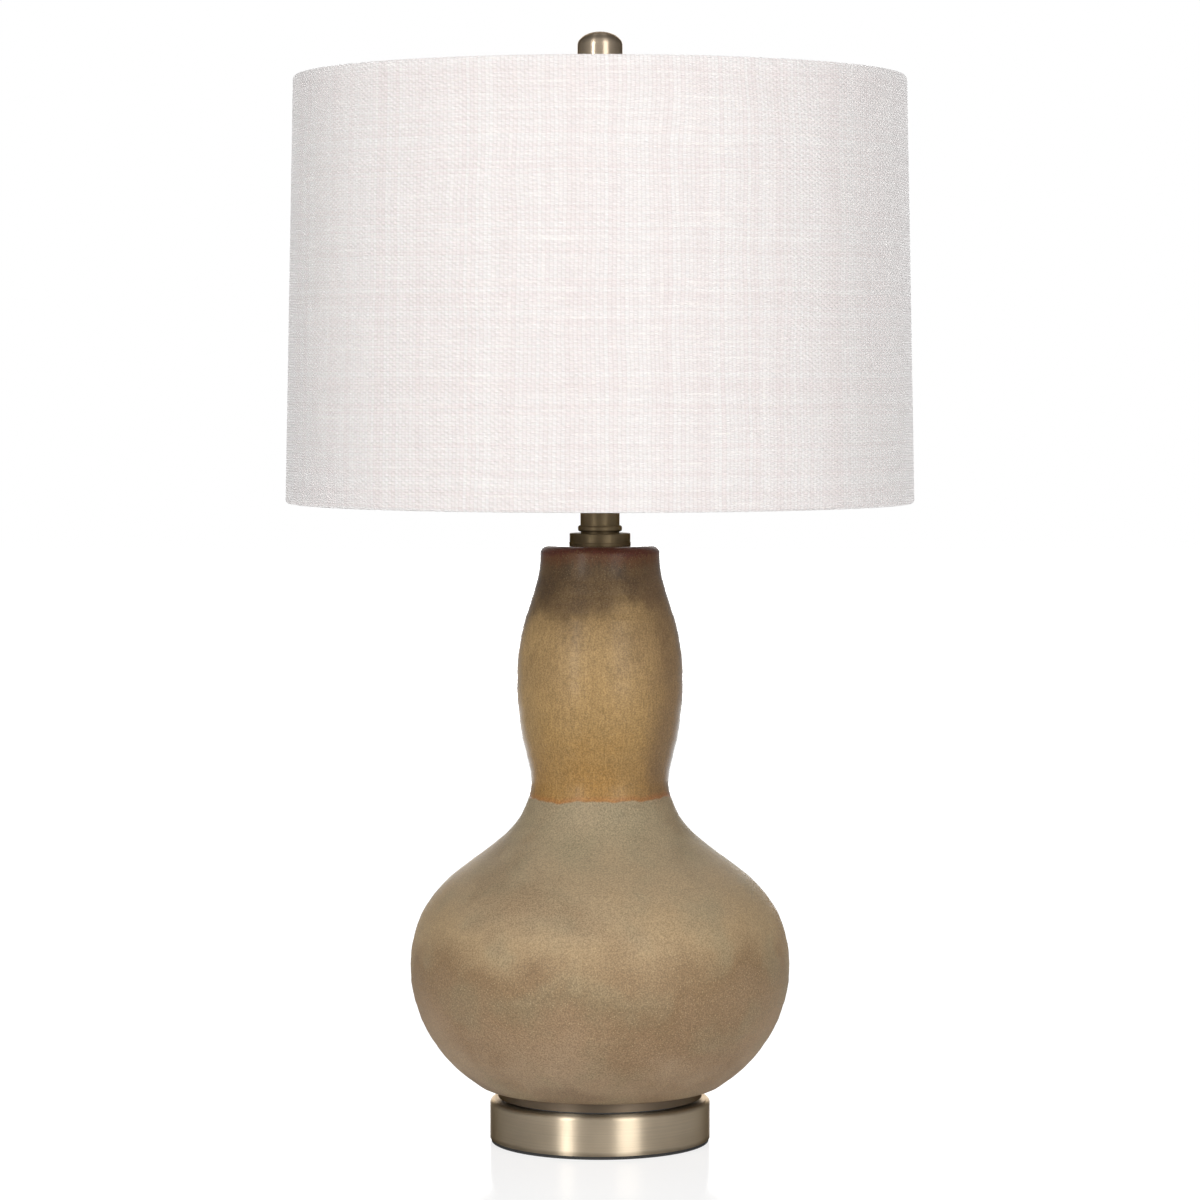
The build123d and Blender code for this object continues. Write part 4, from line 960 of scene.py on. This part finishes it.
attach(domed_finial, "finial")
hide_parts("finial")
print("finial", round(2 * FINIAL_SIDE, 4), "m across, its crown", FINIAL_DOME, "m high")

# %% [markdown]
# ## The studio
# The lamp stands on a white sweep between two tall soft boxes, with a third one behind for
# its back. Each of the front two draws an upright stripe on the brass drum, the left one
# narrow and the right one wider, and their places follow from the stripes: a mirror turns
# light by twice its own turn. Point lamps would draw dots and hard shadows. The rest of the
# light comes from all round at an even, plain level, so that a colour renders about as it is
# written. The sweep is slightly glossy near the lamp, and at this low angle it mirrors the
# drum faintly; further out it is matt, or it would mirror the grey sides of the studio. To
# the camera it glows a little, so that it ends in the same white as the background, and from
# below it is clear, so the underside can be looked at.

# %% Floor
FLOOR_HALF = 9.0
FLOOR_SINK = 0.0002
PAPER_WHITE = (0.9, 0.9, 0.9, 1)
GLOW = 1.16
GLOW_FROM, GLOW_TO = 0.1, 0.8
POLISH_ROUGH = 0.12
POLISH_IOR = 1.2
POLISH_SHARE = 0.4
POLISH_FROM, POLISH_TO = 0.15, 0.5

floor_mesh = bpy.data.meshes.new("floor")
signs = ((-1, -1), (1, -1), (1, 1), (-1, 1))
floor_corners = [(x * FLOOR_HALF, y * FLOOR_HALF, 0) for x, y in signs]
floor_mesh.from_pydata(floor_corners, [], [(0, 1, 2, 3)])
floor = bpy.data.objects.new("floor", floor_mesh)
floor.location.z = -FLOOR_SINK
bpy.context.scene.collection.objects.link(floor)

sweep = bpy.data.materials.new("white_sweep")
sweep.use_nodes = True
tree = sweep.node_tree
tree.nodes.clear()
paper = add(tree, "BsdfDiffuse", {"Color": PAPER_WHITE}).outputs[0]
glow = add(tree, "Emission", {"Color": (1, 1, 1, 1), "Strength": GLOW}).outputs[0]
seen = add(tree, "LightPath").outputs["Is Camera Ray"]
floor_place = use_group(tree, round_place)
away = spread(tree, floor_place["Radius"], GLOW_FROM, GLOW_TO, 0.72, 1.0)
share = calc(tree, "MULTIPLY", seen, away)
mixed = add(tree, "MixShader", {0: share, 1: paper, 2: glow}).outputs[0]
polish = add(tree, "BsdfGlossy", {"Roughness": POLISH_ROUGH}).outputs[0]
low_angle = add(tree, "Fresnel", {"IOR": POLISH_IOR}).outputs[0]
near = spread(tree, floor_place["Radius"], POLISH_FROM, POLISH_TO, POLISH_SHARE, 0.0)
mirrored = calc(tree, "MULTIPLY", low_angle, near)
mixed = add(tree, "MixShader", {0: mirrored, 1: mixed, 2: polish}).outputs[0]
under = add(tree, "NewGeometry").outputs["Backfacing"]
clear = add(tree, "BsdfTransparent").outputs[0]
mixed = add(tree, "MixShader", {0: under, 1: mixed, 2: clear}).outputs[0]
tree.links.new(mixed, add(tree, "OutputMaterial").inputs["Surface"])
floor_mesh.materials.append(sweep)
print("floor", 2 * FLOOR_HALF, "m across")

# %% World
AMBIENT = 0.34
FRONT_GREY = 0.92
SIDE_GREY = 0.22

world = bpy.data.worlds.new("studio")
bpy.context.scene.world = world
world.use_nodes = True
tree = world.node_tree
tree.nodes.clear()
light_path = add(tree, "LightPath").outputs
way = add(tree, "SeparateXYZ", {0: add(tree, "TexCoord").outputs["Generated"]}).outputs
front = spread(tree, way[1], -1.0, 0.2, FRONT_GREY, SIDE_GREY)
behind = calc(tree, "MAXIMUM", front, spread(tree, way[1], 0.86, 1.0))
strength = calc(tree, "MAXIMUM", behind, light_path["Is Camera Ray"])
mirror = calc(tree, "MAXIMUM", light_path["Is Glossy Ray"], light_path["Is Transmission Ray"])
looked_at = calc(tree, "MAXIMUM", mirror, light_path["Is Camera Ray"])
even = add(tree, "Background", {"Color": (1, 1, 1, 1), "Strength": AMBIENT}).outputs[0]
white = add(tree, "Background", {"Color": (1, 1, 1, 1), "Strength": strength}).outputs[0]
mixed = add(tree, "MixShader", {0: looked_at, 1: even, 2: white}).outputs[0]
tree.links.new(mixed, add(tree, "OutputWorld").inputs["Surface"])
print("even light of strength", AMBIENT)


# %% Soft boxes
BOX_TALL = 2.4
BOX_MIDDLE = 1.1
BOX_DISTANCE = 2.5


def soft_box(name, azimuth, width, power):
    """A tall soft box. azimuth is in degrees from the front, to the right."""
    data = bpy.data.lights.new(name, "AREA")
    data.shape = "RECTANGLE"
    data.size = width
    data.size_y = BOX_TALL
    data.energy = power
    box = bpy.data.objects.new(name, data)
    turn = math.radians(azimuth)
    box.location = (BOX_DISTANCE * math.sin(turn), -BOX_DISTANCE * math.cos(turn), BOX_MIDDLE)
    towards = Vector((0, 0, BOX_MIDDLE)) - box.location
    box.rotation_euler = towards.to_track_quat("-Z", "Y").to_euler()
    box.visible_camera = False
    bpy.context.scene.collection.objects.link(box)
    print(name, "at", tuple(round(x, 2) for x in box.location), "with", power, "W")
    return box


soft_box("left_soft_box", -35, 0.50, 34.0)
soft_box("right_soft_box", 30, 1.00, 36.0)
soft_box("back_soft_box", 180, 1.60, 46.0)
